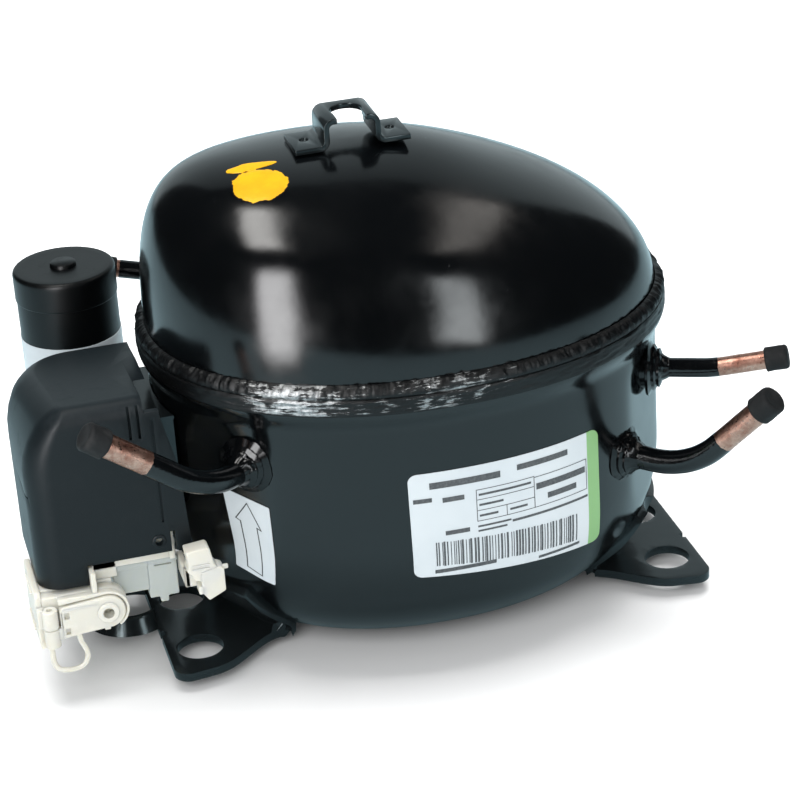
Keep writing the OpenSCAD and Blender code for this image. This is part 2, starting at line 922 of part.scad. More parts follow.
module crankcase() {
    color([0.42, 0.43, 0.44])
        on_shaft()
            difference() {
                union() {
                    intersection() {
                        slab(-46, 46, 92, deck_z, deck_z + deck_t);
                        cylinder(r = 54, h = 200);
                    }
                    translate([0, 0, 52])
                        cylinder(r = hub_r, h = hub_top - 52);
                    translate([0, 0, stator_z + stator_h + gap])
                        at_corners(post_off)
                            cylinder(r = 6.5, h = deck_z - stator_z - stator_h);
                    head_outline(block_face_x, block_inner_x);
                    slab(block_face_x, block_inner_x, 30, deck_z, bore_z);
                }
                translate([0, 0, 50])
                    cylinder(r = shaft_r + run_gap, h = 60);
                translate([block_face_x - 1, 0, bore_z])
                    rod(bore_d / 2, 40);
                translate([block_face_x - 1, 0, 0])
                    at_head_bolts()
                        rod(2.55, 12);
                at_corners(post_off)
                    translate([0, 0, 50])
                        cylinder(r = 2.55, h = 31);
            }
}

module crankshaft() {
    pin_top = yoke_z + slide_h + 1;
    color([0.6, 0.61, 0.63])
        on_shaft()
            difference() {
                union() {
                    translate([0, 0, 14])
                        cylinder(r = shaft_r, h = flange_z - 14 + e);
                    translate([0, 0, flange_z])
                        cylinder(r = 16, h = flange_h);
                    translate([throw, 0, flange_z])
                        cylinder(r = pin_r, h = pin_top - flange_z);
                }
                translate([0, 0, 10])
                    cylinder(r = 3, h = 80);
                translate([0, 0, 10])
                    cylinder(r = 5 + e, h = 16);
                translate([throw / 2, 0, pin_top - 4.5])
                    cylinder(r = 2.5 + gap, h = 5);
            }
}

module counterweight() {
    color([0.45, 0.45, 0.46])
        on_shaft()
            translate([0, 0, flange_z + 0.2])
                rotate_extrude(angle = 140, start = 110, $fn = 96)
                    translate([16 + gap, 0])
                        square([8 - gap, 6.2]);
}

module thrust_washer() {
    color([0.7, 0.6, 0.35])
        on_shaft()
            translate([0, 0, hub_top + e])
                difference() {
                    cylinder(r = 15, h = 0.96);
                    translate([0, 0, -1])
                        cylinder(r = shaft_r + 0.2, h = 3);
                }
}

// Tube pressed into the shaft that lifts oil from the bottom of the shell
module oil_pickup() {
    color([0.65, 0.66, 0.67])
        on_shaft()
            translate([0, 0, 2.5])
                difference() {
                    cylinder(r = 5, h = 22);
                    translate([0, 0, -1])
                        cylinder(r = 3.8, h = 24);
                }
}

module slide_block() {
    color([0.5, 0.5, 0.5])
        on_shaft()
            translate([throw, 0, yoke_z])
                difference() {
                    translate([-slide_w / 2, -slide_l / 2, 0])
                        cube([slide_w, slide_l, slide_h]);
                    translate([0, 0, -1])
                        cylinder(r = pin_r + run_gap, h = slide_h + 2);
                }
}

// Plug of the crankpin's oil gallery, halfway between the shaft and crankpin axes
module oil_gallery_plug() {
    color([0.75, 0.7, 0.5])
        on_shaft()
            translate([throw / 2, 0, yoke_z + slide_h - 3.4])
                difference() {
                    cylinder(r = 2.5, h = 4.3);
                    translate([-3, -0.4, 3.3])
                        cube([6, 0.8, 2]);
                }
}

// Slotted yoke with the stem that is pressed into the piston
module yoke() {
    half_l = slide_l / 2 + throw + 0.5;
    color([0.58, 0.58, 0.6])
        on_shaft()
            translate([throw, 0, 0])
                difference() {
                    union() {
                        slab(-15, 15, 2 * half_l + 9, yoke_z, yoke_z + slide_h);
                        translate([crown_x - throw + 7, 0, bore_z])
                            rod(6, -crown_x + throw - 21);
                    }
                    slab(-slide_w / 2 - run_gap, slide_w / 2 + run_gap, 2 * half_l,
                         yoke_z - 1, yoke_z + slide_h + 1);
                }
}

module piston() {
    r = bore_d / 2 - run_gap;
    length = 15;
    color([0.66, 0.67, 0.69])
        on_shaft()
            translate([crown_x, 0, bore_z])
                difference() {
                    rod(r, length);
                    translate([7 - e, 0, 0])
                        rod(6 + e, length);
                    // relief that the open suction reed dips into
                    translate([-1, -4.8, -15])
                        cube([2.8, 9.6, 30]);
                    for (x = [3, 5.2])
                        translate([x, 0, 0])
                            collar_ring(r + 1, r - 0.5, 0.8);
                }
}

suction_port_z = bore_z + 4;
discharge_port = [7, bore_z - 6];
reed_foot = bore_z - 9;
reed_tip = bore_z + 8;
discharge_foot = bore_z - 12;

module valve_plate() {
    x0 = block_face_x - valve_t;
    color([0.55, 0.56, 0.58])
        on_shaft()
            difference() {
                head_outline(x0, block_face_x - e);
                translate([x0 - 1, 0, suction_port_z])
                    rod(3, valve_t + 2);
                translate([x0 - 1, discharge_port.x, discharge_port.y])
                    rod(2, valve_t + 2);
                slab(block_face_x - reed_t - gap, block_face_x + 1, 8.4, reed_foot - 0.3, reed_tip + 0.3);
                translate([x0 - 1, 0, 0])
                    at_head_bolts()
                        rod(2.6, valve_t + 2);
            }
}

module suction_reed() {
    color([0.5, 0.55, 0.62])
        on_shaft()
            slab(block_face_x - reed_t - 0.02, block_face_x - 0.02, 8, reed_foot, reed_tip);
}

module discharge_reed() {
    x1 = block_face_x - valve_t - 0.02;
    color([0.5, 0.55, 0.62])
        on_shaft()
            translate([0, discharge_port.x, 0])
                slab(x1 - reed_t, x1, 5, discharge_foot, discharge_port.y + 3);
}

// The two gas chambers, cut through gasket and into head
module chambers(x0, x1) {
    slab(x0, x1, 28, bore_z + 1, bore_z + 14);
    slab(x0, x1, 28, bore_z - 15, bore_z - 2);
}

module head_gasket() {
    x0 = block_face_x - valve_t - gasket_t;
    color([0.2, 0.22, 0.2])
        on_shaft()
            difference() {
                head_outline(x0, x0 + gasket_t - e);
                chambers(x0 - 1, x0 + 2);
                translate([x0 - 1, 0, 0])
                    at_head_bolts()
                        rod(2.6, 3);
            }
}

module cylinder_head() {
    x1 = block_face_x - valve_t - gasket_t - e;
    color([0.62, 0.63, 0.64])
        on_shaft()
            difference() {
                head_outline(x1 - head_t, x1);
                chambers(x1 - head_t + 3, x1 + 1);
                translate([x1 - head_t - 1, 0, 0])
                    at_head_bolts()
                        rod(2.6, head_t + 2);
                translate([x1 - head_t / 2, -6, bore_z + 5])
                    cylinder(r = 3.5, h = 40);
            }
}

module head_bolts() {
    x0 = block_face_x - valve_t - gasket_t - head_t - 2 * e;
    color([0.3, 0.3, 0.32])
        on_shaft()
            translate([x0 - 4, 0, 0])
                at_head_bolts() {
                    rotate([0, 90, 0])
                        cylinder(r = 4.3, h = 4, $fn = 6);
                    translate([4 - e, 0, 0])
                        rod(2.5, valve_t + gasket_t + head_t + 8);
                }
}

// Plastic box above the cylinder, with a neck into the head's suction chamber
module suction_muffler() {
    neck_x = block_face_x - valve_t - gasket_t - head_t / 2 - e;
    z0 = bore_z + valve_w / 2 + 1;
    color([0.82, 0.8, 0.72])
        on_shaft()
            difference() {
                union() {
                    slab(-68, -32, 34, z0, z0 + 15);
                    translate([neck_x, -6, z0 - 4])
                        cylinder(r = 3.4, h = 6);
                }
                slab(-66.5, -33.5, 31, z0 + 1.5, z0 + 13.5);
                translate([neck_x, -6, z0 - 5])
                    cylinder(r = 2.2, h = 10);
                translate([-60, 0, z0 + 10])
                    cylinder(r = 3, h = 10);
            }
}

muffler_xy = [28, 30];

module discharge_muffler() {
    color([0.48, 0.48, 0.5])
        on_shaft()
            translate([muffler_xy.x, muffler_xy.y, deck_z + deck_t + e])
                difference() {
                    union() {
                        cylinder(r = 11, h = 8);
                        translate([0, 0, 8 - e])
                            cylinder(r1 = 11, r2 = 8, h = 3);
                    }
                    translate([0, 0, -1])
                        cylinder(r = 9.5, h = 8.5);
                }
}

function bezier(p, t) =
    pow(1 - t, 3) * p[0] + 3 * t * pow(1 - t, 2) * p[1] + 3 * t * t * (1 - t) * p[2] + pow(t, 3) * p[3];

// Flexible steel tube from the discharge muffler to the discharge stub
module discharge_loop() {
    out = [muffler_xy.x, muffler_xy.y, 0] / norm(muffler_xy);
    start = [shell_x + muffler_xy.x, muffler_xy.y, deck_z + deck_t + 6.6] + 11.2 * out;
    heading = [cos(discharge_at[2]), sin(discharge_at[2]), 0];
    w = wall_at(discharge_at[0]);
    mouth = [w.x, w.y, discharge_at[1]] - (tube_in + 0.5) * heading;
    curve = [start, start + 25 * out, mouth - 18 * heading, mouth];
    color([0.5, 0.38, 0.3])
        wire([for (i = [0:18]) bezier(curve, i / 18), mouth + 3 * heading],
             thin_tube_d / 2 - tube_t - 0.4, [0, 0, 1], 10);
}

// ---------- motor ----------

module at_slots() {
    for (i = [0:slot_count - 1])
        rotate([0, 0, (i + 0.5) * 360 / slot_count])
            children();
}

module stator_core() {
    color([0.35, 0.36, 0.38])
        on_shaft()
            difference() {
                intersection() {
                    slab(-stator_w / 2, stator_w / 2, stator_w, stator_z, stator_z + stator_h);
                    cylinder(r = 62, h = 200);
                }
                cylinder(r = rotor_d / 2 + 0.3, h = 200);
                at_slots()
                    slab(28.8, 37.3, 5, 0, 100);
                at_corners(post_off)
                    cylinder(r = 2.7, h = 200);
            }
}

// Copper coils: bars in the slots and a rounded bundle at each end
module stator_windings() {
    color([0.7, 0.35, 0.2])
        on_shaft() {
            at_slots()
                slab(29, 37.1, 4.8, stator_z - 1, stator_z + stator_h + 1);
            for (side = [[stator_z - 11.5, 0], [stator_z + stator_h + 0.4, 0]])
                translate([0, 0, side[0]])
                    rotate_extrude($fn = 96) {
                        translate([29, 2])
                            square([8.4, 7.1]);
                        translate([31, 0])
                            square([4.4, 11.1]);
                        for (x = [31, 35.4])
                            for (z = [2, 9.1])
                                translate([x, z])
                                    circle(r = 2, $fn = 24);
                    }
        }
}

module stator_bolts() {
    color([0.3, 0.3, 0.31])
        on_shaft()
            at_corners(post_off) {
                translate([0, 0, stator_z - 3.6])
                    cylinder(r = 4, h = 3.6 - e, $fn = 6);
                translate([0, 0, stator_z - 1])
                    cylinder(r = 2.5, h = 54);
            }
}

module rotor_core() {
    color([0.38, 0.39, 0.4])
        on_shaft()
            translate([0, 0, stator_z])
                difference() {
                    cylinder(r = rotor_d / 2, h = stator_h);
                    translate([0, 0, -1])
                        cylinder(r = shaft_r + e, h = stator_h + 2);
                    translate([0, 0, 51 - stator_z])
                        cylinder(r = hub_r + 2, h = stator_h);
                    at_slots()
                        translate([22.5, 0, -1])
                            cylinder(r = 1.8, h = stator_h + 2, $fn = 24);
                }
}

// Cast aluminium bars joined by a ring at each end
module rotor_cage() {
    color([0.72, 0.73, 0.75])
        on_shaft() {
            for (z = [stator_z - 4, stator_z + stator_h + e])
                translate([0, 0, z])
                    difference() {
                        cylinder(r = rotor_d / 2 - 0.5, h = 4 - e);
                        translate([0, 0, -1])
                            cylinder(r = 17.5, h = 6);
                    }
            at_slots()
                translate([22.5, 0, stator_z - 1])
                    cylinder(r = 1.8 - e, h = stator_h + 2, $fn = 24);
        }
}

// ---------- suspension ----------

module suspension_springs() {
    turns = 4;
    per_turn = 14;
    z0 = spring_low + wire_r + 0.05;
    rise = spring_high - spring_low - 2 * wire_r - 0.1;
    steps = turns * per_turn;
    color([0.6, 0.62, 0.64])
        on_shaft()
            at_corners(spring_off)
                wire([for (i = [0:steps]) let (a = 360 * i / per_turn)
                    [coil_r * cos(a), coil_r * sin(a), z0 + rise * i / steps]], wire_r, [0, 0, 1], 6);
}

// Steel cups and nylon posts on the floor of the shell
module spring_seats() {
    color([0.5, 0.51, 0.52])
        on_shaft()
            at_corners(spring_off) {
                translate([0, 0, 3.2])
                    cylinder(r = 4.2, h = 9.8);
                translate([0, 0, 5.2])
                    cylinder(r = 6.4, h = 1.2);
            }
}

module spring_pins() {
    color([0.5, 0.51, 0.52])
        on_shaft()
            at_corners(spring_off) {
                translate([0, 0, 16.2])
                    cylinder(r = 3.8, h = stator_z - 16.2 - e);
                translate([0, 0, spring_high + gap])
                    cylinder(r = 6.2, h = 0.6);
            }
}

lower_housing();
upper_cover();
weld_bead();
tray_bracket();
base_plate_left();
base_plate_right();
suction_tube();
process_tube();
discharge_tube();
service_tube();
tube_collars();
suction_plug();
process_plug();
discharge_plug();
service_plug();
terminal_body();
terminal_glass();
terminal_pins();
terminal_fence();
earth_screw();
overload_protector();
start_relay();
relay_connector();
terminal_cover();
cord_clamp_base();
cord_clamp_jaw();
cord_clamp_strap();
start_capacitor();
capacitor_cap();
capacitor_label();
capacitor_bracket();
rating_label();
flow_arrow_label();
crankcase();
crankshaft();
counterweight();
thrust_washer();
oil_pickup();
slide_block();
oil_gallery_plug();
yoke();
piston();
valve_plate();
suction_reed();
discharge_reed();
head_gasket();
cylinder_head();
head_bolts();
suction_muffler();
discharge_muffler();
discharge_loop();
stator_core();
stator_windings();
stator_bolts();
rotor_core();
rotor_cage();
suspension_springs();
spring_seats();
spring_pins();
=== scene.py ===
import json
import math
import random
from collections import namedtuple
from contextlib import contextmanager

import bmesh
import bpy
from mathutils import Matrix, Quaternion, Vector, noise


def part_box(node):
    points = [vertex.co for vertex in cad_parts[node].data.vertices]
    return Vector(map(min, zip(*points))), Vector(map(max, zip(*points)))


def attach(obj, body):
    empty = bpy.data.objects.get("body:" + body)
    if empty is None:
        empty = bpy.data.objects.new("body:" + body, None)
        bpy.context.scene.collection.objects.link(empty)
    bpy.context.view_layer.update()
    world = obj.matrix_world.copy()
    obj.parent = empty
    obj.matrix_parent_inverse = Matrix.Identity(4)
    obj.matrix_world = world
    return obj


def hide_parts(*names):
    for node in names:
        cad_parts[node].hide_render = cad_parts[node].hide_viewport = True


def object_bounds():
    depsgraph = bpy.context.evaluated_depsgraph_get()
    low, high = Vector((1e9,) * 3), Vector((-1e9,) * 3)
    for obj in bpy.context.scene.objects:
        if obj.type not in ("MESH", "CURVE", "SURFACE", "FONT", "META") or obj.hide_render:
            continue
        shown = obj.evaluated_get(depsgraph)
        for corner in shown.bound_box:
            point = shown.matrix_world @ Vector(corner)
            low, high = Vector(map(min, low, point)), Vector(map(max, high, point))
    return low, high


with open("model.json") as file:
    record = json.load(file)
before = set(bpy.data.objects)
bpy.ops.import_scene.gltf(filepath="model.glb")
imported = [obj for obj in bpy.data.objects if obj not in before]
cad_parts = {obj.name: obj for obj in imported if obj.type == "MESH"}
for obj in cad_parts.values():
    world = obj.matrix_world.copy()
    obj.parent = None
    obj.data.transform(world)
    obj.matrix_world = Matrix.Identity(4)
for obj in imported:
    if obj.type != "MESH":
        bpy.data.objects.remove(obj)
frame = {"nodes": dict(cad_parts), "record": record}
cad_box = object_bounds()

MM = 0.001
scene = bpy.context.scene


# ---------- dimensions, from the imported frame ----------

def box_mm(node):
    low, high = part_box(node)
    return low / MM, high / MM


RIM_FLARE = 3.2       # how far the rim stands out of the wall
RIM_H = 5.0           # height of the rim's outer face
SHELL_T = 3.0
SHELL_POW = 2.12      # superellipse power of the plan outline
CORNER_R = 50.0       # wall to bottom
bowl_low, bowl_high = box_mm("lower_housing")
shell_x = (bowl_low.x + bowl_high.x) / 2
shell_a = (bowl_high.x - bowl_low.x) / 2 - RIM_FLARE
shell_b = (bowl_high.y - bowl_low.y) / 2 - RIM_FLARE
shell_low = bowl_low.z
rim_top = bowl_high.z
rim_z = rim_top - RIM_H
lid_h = box_mm("upper_cover")[1].z - rim_top
APEX_X = -16.0        # highest point of the dome
# Powers of the dome's outline, low and high, towards its left end, right end and sides
LEFT_CURVE, RIGHT_CURVE, SIDE_CURVE = (2.96, 5.58), (2.19, 1.33), (2.29, 2.0)
TUBE_T = 0.75
COLLAR_R = 7.0        # where a stub's collar passes through the wall
PLUG_COVERS = 6.0     # length of tube inside a plug

# Stubs: angle round the shell, height, heading, roll, straight start, bend radius, bend
# angle, straight end, outside diameter, bare copper length
Port = namedtuple("Port", "angle z heading roll straight radius turn end outside bare")
PORTS = {
    "suction": Port(215.7, 76, 226, -39.5, 4, 31.6, 51.9, 32.7, 8.0, 22),
    "process": Port(-40.5, 57.5, -47.9, 4, 10.2, 32.3, 46.8, 27.5, 8.0, 24),
    "discharge": Port(-24.8, 79.6, -23.9, 0, 16.1, 49.4, 10.4, 19.8, 6.5, 22),
    "service": Port(122.7, 88, 120, 75, 6, 24, 50, 31, 6.5, 7),
}
# Flat pressings of the wall: direction, depth
FLATS = ((-34.0, 1.6), (218.0, 1.6), (123.0, 1.2), (38.0, 1.2))


def smooth(x):
    x = min(1.0, max(0.0, x))
    return x * x * (3 - 2 * x)


def arc(cx, cy, r, start, end, steps):
    """Points of an arc in a plane, in degrees."""
    angles = [math.radians(start + (end - start) * i / steps) for i in range(steps + 1)]
    return [(cx + r * math.cos(a), cy + r * math.sin(a)) for a in angles]


def oval(a, b, angle):
    c, s = math.cos(math.radians(angle)), math.sin(math.radians(angle))
    power = 2 / SHELL_POW
    return a * math.copysign(abs(c) ** power, c), b * math.copysign(abs(s) ** power, s)


def wall_at(phi):
    """Point of the wall in the direction phi from the shell's centre."""
    c, s = math.cos(math.radians(phi)), math.sin(math.radians(phi))
    k = ((abs(c) / shell_a) ** SHELL_POW + (abs(s) / shell_b) ** SHELL_POW) ** (-1 / SHELL_POW)
    return shell_x + k * c, k * s


def inset(z):
    """How far the wall has turned in at height z."""
    h = min(CORNER_R, max(0.0, z - shell_low))
    return CORNER_R - math.sqrt(CORNER_R ** 2 - (CORNER_R - h) ** 2)


def press_flat(p, depth):
    """Moves a wall point onto the flat pressings; depth is how deep in the wall it lies."""
    fade = smooth((rim_z - 6 - p.z) / 14) * smooth((p.z - 4) / 26)
    soft = 0.9        # rounds the pressing's edge
    for phi, press in FLATS:
        n = Vector((math.cos(math.radians(phi)), math.sin(math.radians(phi)), 0))
        over = (p - Vector((*wall_at(phi), 0))).dot(n) + press + depth
        over = 0.5 * (over + math.sqrt(over * over + soft * soft))
        p = p - n * over * fade
    return p


# ---------- places ----------

def upright(x, y, z):
    """Turned parts: local +X points up from a place."""
    return Matrix.Translation((x, y, z)) @ Matrix.Rotation(math.radians(-90), 4, "Y")


def front_at(y):
    """Local XY becomes world XZ, and local +Z runs towards +Y from y."""
    return Matrix(((1, 0, 0, 0), (0, 0, 1, y), (0, 1, 0, 0), (0, 0, 0, 1)))


def side_at(x):
    """Local XY becomes world YZ, and local +Z runs towards +X from x."""
    return Matrix(((0, 0, 1, x), (1, 0, 0, 0), (0, 1, 0, 0), (0, 0, 0, 1)))


def backwards(x, y, z):
    """Turned parts: local +X points towards +Y from a place."""
    return Matrix.Translation((x, y, z)) @ Matrix.Rotation(math.radians(90), 4, "Z")


# ---------- mesh helpers ----------

def add_object(name, data):
    obj = bpy.data.objects.new(name, data)
    scene.collection.objects.link(obj)
    return obj


def add_mesh(points, faces, name="piece"):
    mesh = bpy.data.meshes.new(name)
    mesh.from_pydata([Vector(p) * MM for p in points], [], faces)
    mesh.update()
    return add_object(name, mesh)


def grid_faces(lines, per_line):
    """Quads between neighbouring lines of points."""
    return [(i, i + 1, i + per_line + 1, i + per_line) for line in range(lines - 1)
            for i in range(line * per_line, (line + 1) * per_line - 1)]


@contextmanager
def editing(obj):
    """An object's mesh as a bmesh, written back at the end."""
    work = bmesh.new()
    work.from_mesh(obj.data)
    yield work
    work.to_mesh(obj.data)
    work.free()


def apply_modifiers(obj):
    graph = bpy.context.evaluated_depsgraph_get()
    mesh = bpy.data.meshes.new_from_object(obj.evaluated_get(graph))
    obj.modifiers.clear()
    old = obj.data
    obj.data = mesh
    bpy.data.meshes.remove(old)
    return obj


def outward(obj):
    """Turns all faces outwards."""
    with editing(obj) as work:
        bmesh.ops.recalc_face_normals(work, faces=work.faces)
    return obj


def bevel(obj, width, segments=3, angle=30.0):
    mod = obj.modifiers.new("edge", "BEVEL")
    mod.width = width * MM
    mod.segments = segments
    mod.limit_method = "ANGLE"
    mod.angle_limit = math.radians(angle)
    mod.use_clamp_overlap = True
    mod.miter_outer = "MITER_ARC"
    return apply_modifiers(obj)


def thicken(obj, thickness):
    """Gives a sheet a thickness, on its back."""
    obj.modifiers.new("thick", "SOLIDIFY").thickness = thickness * MM
    return apply_modifiers(obj)


def boolean(obj, other, operation="DIFFERENCE"):
    mod = obj.modifiers.new("cut", "BOOLEAN")
    mod.operation = operation
    mod.solver = "EXACT"
    mod.object = other
    apply_modifiers(obj)
    bpy.data.objects.remove(other)
    return obj


def join(objs):
    """One object from several, without touching their faces."""
    work = bmesh.new()
    for obj in objs:
        work.from_mesh(obj.data)
        bpy.data.objects.remove(obj)
    mesh = bpy.data.meshes.new("piece")
    work.to_mesh(mesh)
    work.free()
    return add_object("piece", mesh)


def loft(rings, wrap=False, tips=(None, None)):
    """Skin through rings of equal length; wrap joins the last ring to the first, and tips
    are the points that close the two ends (None fills an end with one face)."""
    n, m = len(rings[0]), len(rings)
    points = [p for ring in rings for p in ring]
    faces = []
    for k in range(m if wrap else m - 1):
        nxt = (k + 1) % m
        for i in range(n):
            j = (i + 1) % n
            faces.append((k * n + i, k * n + j, nxt * n + j, nxt * n + i))
    if not wrap:
        for tip, first in zip(tips, (0, n * (m - 1))):
            if tip is None:
                faces.append(tuple(range(first, first + n)))
            else:
                faces += [(first + i, first + (i + 1) % n, len(points)) for i in range(n)]
                points.append(tip)
    return outward(add_mesh(points, faces))


def axes_along(direction, side=Vector((0, 0, 1))):
    """Two unit vectors square to a direction that is never parallel to side."""
    u = side.cross(direction).normalized()
    return u, direction.cross(u).normalized()


def heading(path, i):
    """Direction of an open path at its point i."""
    return (path[min(i + 1, len(path) - 1)] - path[max(i - 1, 0)]).normalized()


def tube_rings(path, section, side=Vector((0, 0, 1))):
    """Rings round an open path; section(i, angle) is the radius at its point i."""
    sides = 40
    angles = [2 * math.pi * k / sides for k in range(sides)]
    rings = []
    for i, p in enumerate(path):
        u, v = axes_along(heading(path, i), side)
        rings.append([p + (u * math.cos(t) + v * math.sin(t)) * section(i, t) for t in angles])
    return rings


def lathe(profile, place, sides=72, bump=None):
    """Turned solid: profile is a closed list of (distance along the axis, radius), place a
    matrix whose +X is the axis, bump(x, r, angle) an extra radius."""
    rings = []
    for k in range(sides):
        t = 2 * math.pi * k / sides
        ring = []
        for x, r in profile:
            rr = r + (bump(x, r, t) if bump else 0.0)
            ring.append(place @ Vector((x, rr * math.cos(t), rr * math.sin(t))))
        rings.append(ring)
    obj = loft(rings, wrap=True)
    with editing(obj) as work:
        bmesh.ops.remove_doubles(work, verts=work.verts, dist=1e-7)
        bmesh.ops.recalc_face_normals(work, faces=work.faces)
    return obj


def prism(outline, thick, place, round_r=0.4):
    """Outline in the local XY plane, thick along local +Z, with rounded edges."""
    n = len(outline)
    points = [place @ Vector((x, y, z)) for z in (0, thick) for x, y in outline]
    faces = [tuple(range(n)), tuple(range(2 * n - 1, n - 1, -1))]
    faces += [(i, (i + 1) % n, n + (i + 1) % n, n + i) for i in range(n)]
    obj = outward(add_mesh(points, faces))
    return bevel(obj, round_r) if round_r else obj


def block(low, high, round_r=0.4):
    """Upright box between two corners."""
    outline = [(low[0], low[1]), (high[0], low[1]), (high[0], high[1]), (low[0], high[1])]
    return prism(outline, high[2] - low[2], Matrix.Translation((0, 0, low[2])), round_r)


def bent_strip(path, thick, width, place):
    """Sheet strip along a path in the local XY plane."""
    left, right = [], []
    for i, (x, y) in enumerate(path):
        ax, ay = path[max(i - 1, 0)]
        bx, by = path[min(i + 1, len(path) - 1)]
        length = math.hypot(bx - ax, by - ay)
        nx, ny = -(by - ay) / length * thick / 2, (bx - ax) / length * thick / 2
        left.append((x + nx, y + ny))
        right.append((x - nx, y - ny))
    return prism(left + right[::-1], width, place, 0)


def drill(obj, r, depth, place, sides=32):
    return boolean(obj, lathe([(0, 0), (0, r), (depth, r), (depth, 0)], place, sides))


def cut(obj, *boxes):
    """Takes boxes, each given by two corners, out of an object."""
    for low, high in boxes:
        boolean(obj, block(low, high, 0))
    return obj


def rough(x, y, z, scale, octaves=3):
    """Smooth noise from -1 to 1 at a point in millimetres; scale is the lump size."""
    return noise.fractal(Vector((x, y, z)) / scale, 0.6, 2.0, octaves)


def spots(obj):
    """Where an object's points are, in millimetres."""
    return [vertex.co / MM for vertex in obj.data.vertices]


def store(obj, name, values):
    """Point attribute for a shader."""
    layer = obj.data.attributes.new(name, "FLOAT", "POINT")
    for item, value in zip(layer.data, values):
        item.value = value


# ---------- shader helpers ----------

PAINT_BLACK = (0.0014, 0.0018, 0.0022)


class Nodes:
    """Short way to write a node tree in metres: each method adds a node and returns its
    output."""

    def __init__(self, tree):
        self.tree = tree

    def add(self, kind, **settings):
        node = self.tree.nodes.new("ShaderNode" + kind)
        for key, value in settings.items():
            setattr(node, key, value)
        return node

    def link(self, source, target):
        if hasattr(source, "is_linked"):
            self.tree.links.new(source, target)
        else:
            target.default_value = source

    def math(self, operation, a, b):
        node = self.add("Math", operation=operation)
        self.link(a, node.inputs[0])
        self.link(b, node.inputs[1])
        return node.outputs[0]


class Shader(Nodes):
    """Node material on a Principled BSDF."""

    def __init__(self, name):
        self.material = bpy.data.materials.new(name)
        self.material.use_nodes = True
        super().__init__(self.material.node_tree)
        self.bsdf = self.tree.nodes["Principled BSDF"]
        self.place = self.add("TexCoord").outputs["Object"]

    def texture(self, node, size_mm, place, **inputs):
        """Places and sizes a texture node, and returns its outputs."""
        self.link(place, node.inputs["Vector"])
        node.inputs["Scale"].default_value = 1 / (size_mm * MM)
        for key, value in inputs.items():
            node.inputs[key].default_value = value
        return node.outputs

    def noise(self, size_mm, detail=3.0, roughness=0.5, stretch=(1, 1, 1)):
        scaled = self.add("Mapping")
        scaled.inputs["Scale"].default_value = stretch
        self.link(self.place, scaled.inputs["Vector"])
        return self.texture(self.add("TexNoise"), size_mm, scaled.outputs["Vector"],
                            Detail=detail, Roughness=roughness)["Fac"]

    def cells(self, size_mm):
        return self.texture(self.add("TexVoronoi"), size_mm, self.place)["Distance"]

    def wave(self, size_mm, distortion=0.0, **kind):
        return self.texture(self.add("TexWave", **kind), size_mm, self.place,
                            Distortion=distortion)["Fac"]

    def attribute(self, name):
        return self.add("Attribute", attribute_name=name).outputs["Fac"]

    def ramp(self, value, low, high, to_low=0.0, to_high=1.0):
        node = self.add("MapRange")
        self.link(value, node.inputs["Value"])
        for key, v in (("From Min", low), ("From Max", high), ("To Min", to_low),
                       ("To Max", to_high)):
            node.inputs[key].default_value = v
        return node.outputs["Result"]

    def mix(self, factor, a, b):
        node = self.add("Mix", data_type="RGBA")
        self.link(factor, node.inputs["Factor"])
        for key, colour in (("A", a), ("B", b)):
            socket = [s for s in node.inputs if s.name == key and s.type == "RGBA"][0]
            self.link(colour if hasattr(colour, "is_linked") else (*colour[:3], 1), socket)
        return [s for s in node.outputs if s.type == "RGBA"][0]

    def bump(self, height, depth_mm, normal=None):
        node = self.add("Bump")
        node.inputs["Distance"].default_value = depth_mm * MM
        self.link(height, node.inputs["Height"])
        if normal is not None:
            self.link(normal, node.inputs["Normal"])
        return node.outputs["Normal"]

    def set(self, **inputs):
        for key, value in inputs.items():
            if key == "Base_Color" and not hasattr(value, "is_linked"):
                value = (*value[:3], 1)
            self.link(value, self.bsdf.inputs[key.replace("_", " ")])
        return self.material


def black_paint(name, gloss=0.13, peel=0.006, shine=0.5, chips_and_highlight=False):
    """Dipped gloss black paint: soft waves, orange peel, dust specks, thin scuffs. When asked,
    bright metal shows where the attribute bare asks for it: chips in the paint, and on the
    weld and rim a painted highlight."""
    s = Shader(name)
    specks = s.ramp(s.cells(9), 0.0, 0.035, 1.0, 0.0)
    waves = s.bump(s.noise(14, 2), 0.05)
    normal = s.bump(specks, 0.06, s.bump(s.noise(1.6, 2), peel, waves))
    patchy = s.ramp(s.noise(22, 4, 0.65), 0.4, 0.75, gloss, gloss + 0.12)
    scuffs = s.ramp(s.noise(7, 5, 0.7, (1, 1, 5)), 0.66, 0.8)
    dull = s.math("ADD", patchy, s.math("MULTIPLY", scuffs, 0.1))
    colour = s.mix(s.math("MULTIPLY", scuffs, 0.5), PAINT_BLACK, [c * 2.2 for c in PAINT_BLACK])
    metallic = 0.0
    if chips_and_highlight:
        streaks = s.noise(2.2, 5, 0.75, (0.36, 0.36, 3.0))
        # Bright silver metal: chips in the paint, and on the weld and rim a painted highlight
        chip_and_highlight_mask = s.math("ADD", s.attribute("bare"), s.ramp(streaks, 0.3, 0.7, -0.55, 0.45))
        bright = s.ramp(chip_and_highlight_mask, 0.5, 0.66)
        silver = s.mix(s.ramp(s.noise(1.4, 4, 0.7), 0.35, 0.7), (0.40, 0.41, 0.41),
                       (0.11, 0.115, 0.12))
        colour = s.mix(bright, colour, silver)
        metallic = s.math("MULTIPLY", bright, 0.75)
        dull = s.mix(bright, [gloss + 0.22] * 3, [0.38] * 3)
        normal = s.bump(s.noise(0.8, 4, 0.7), 0.12, normal)
    return s.set(Base_Color=colour, Roughness=dull, Metallic=metallic, Normal=normal,
                 Specular_IOR_Level=shine)


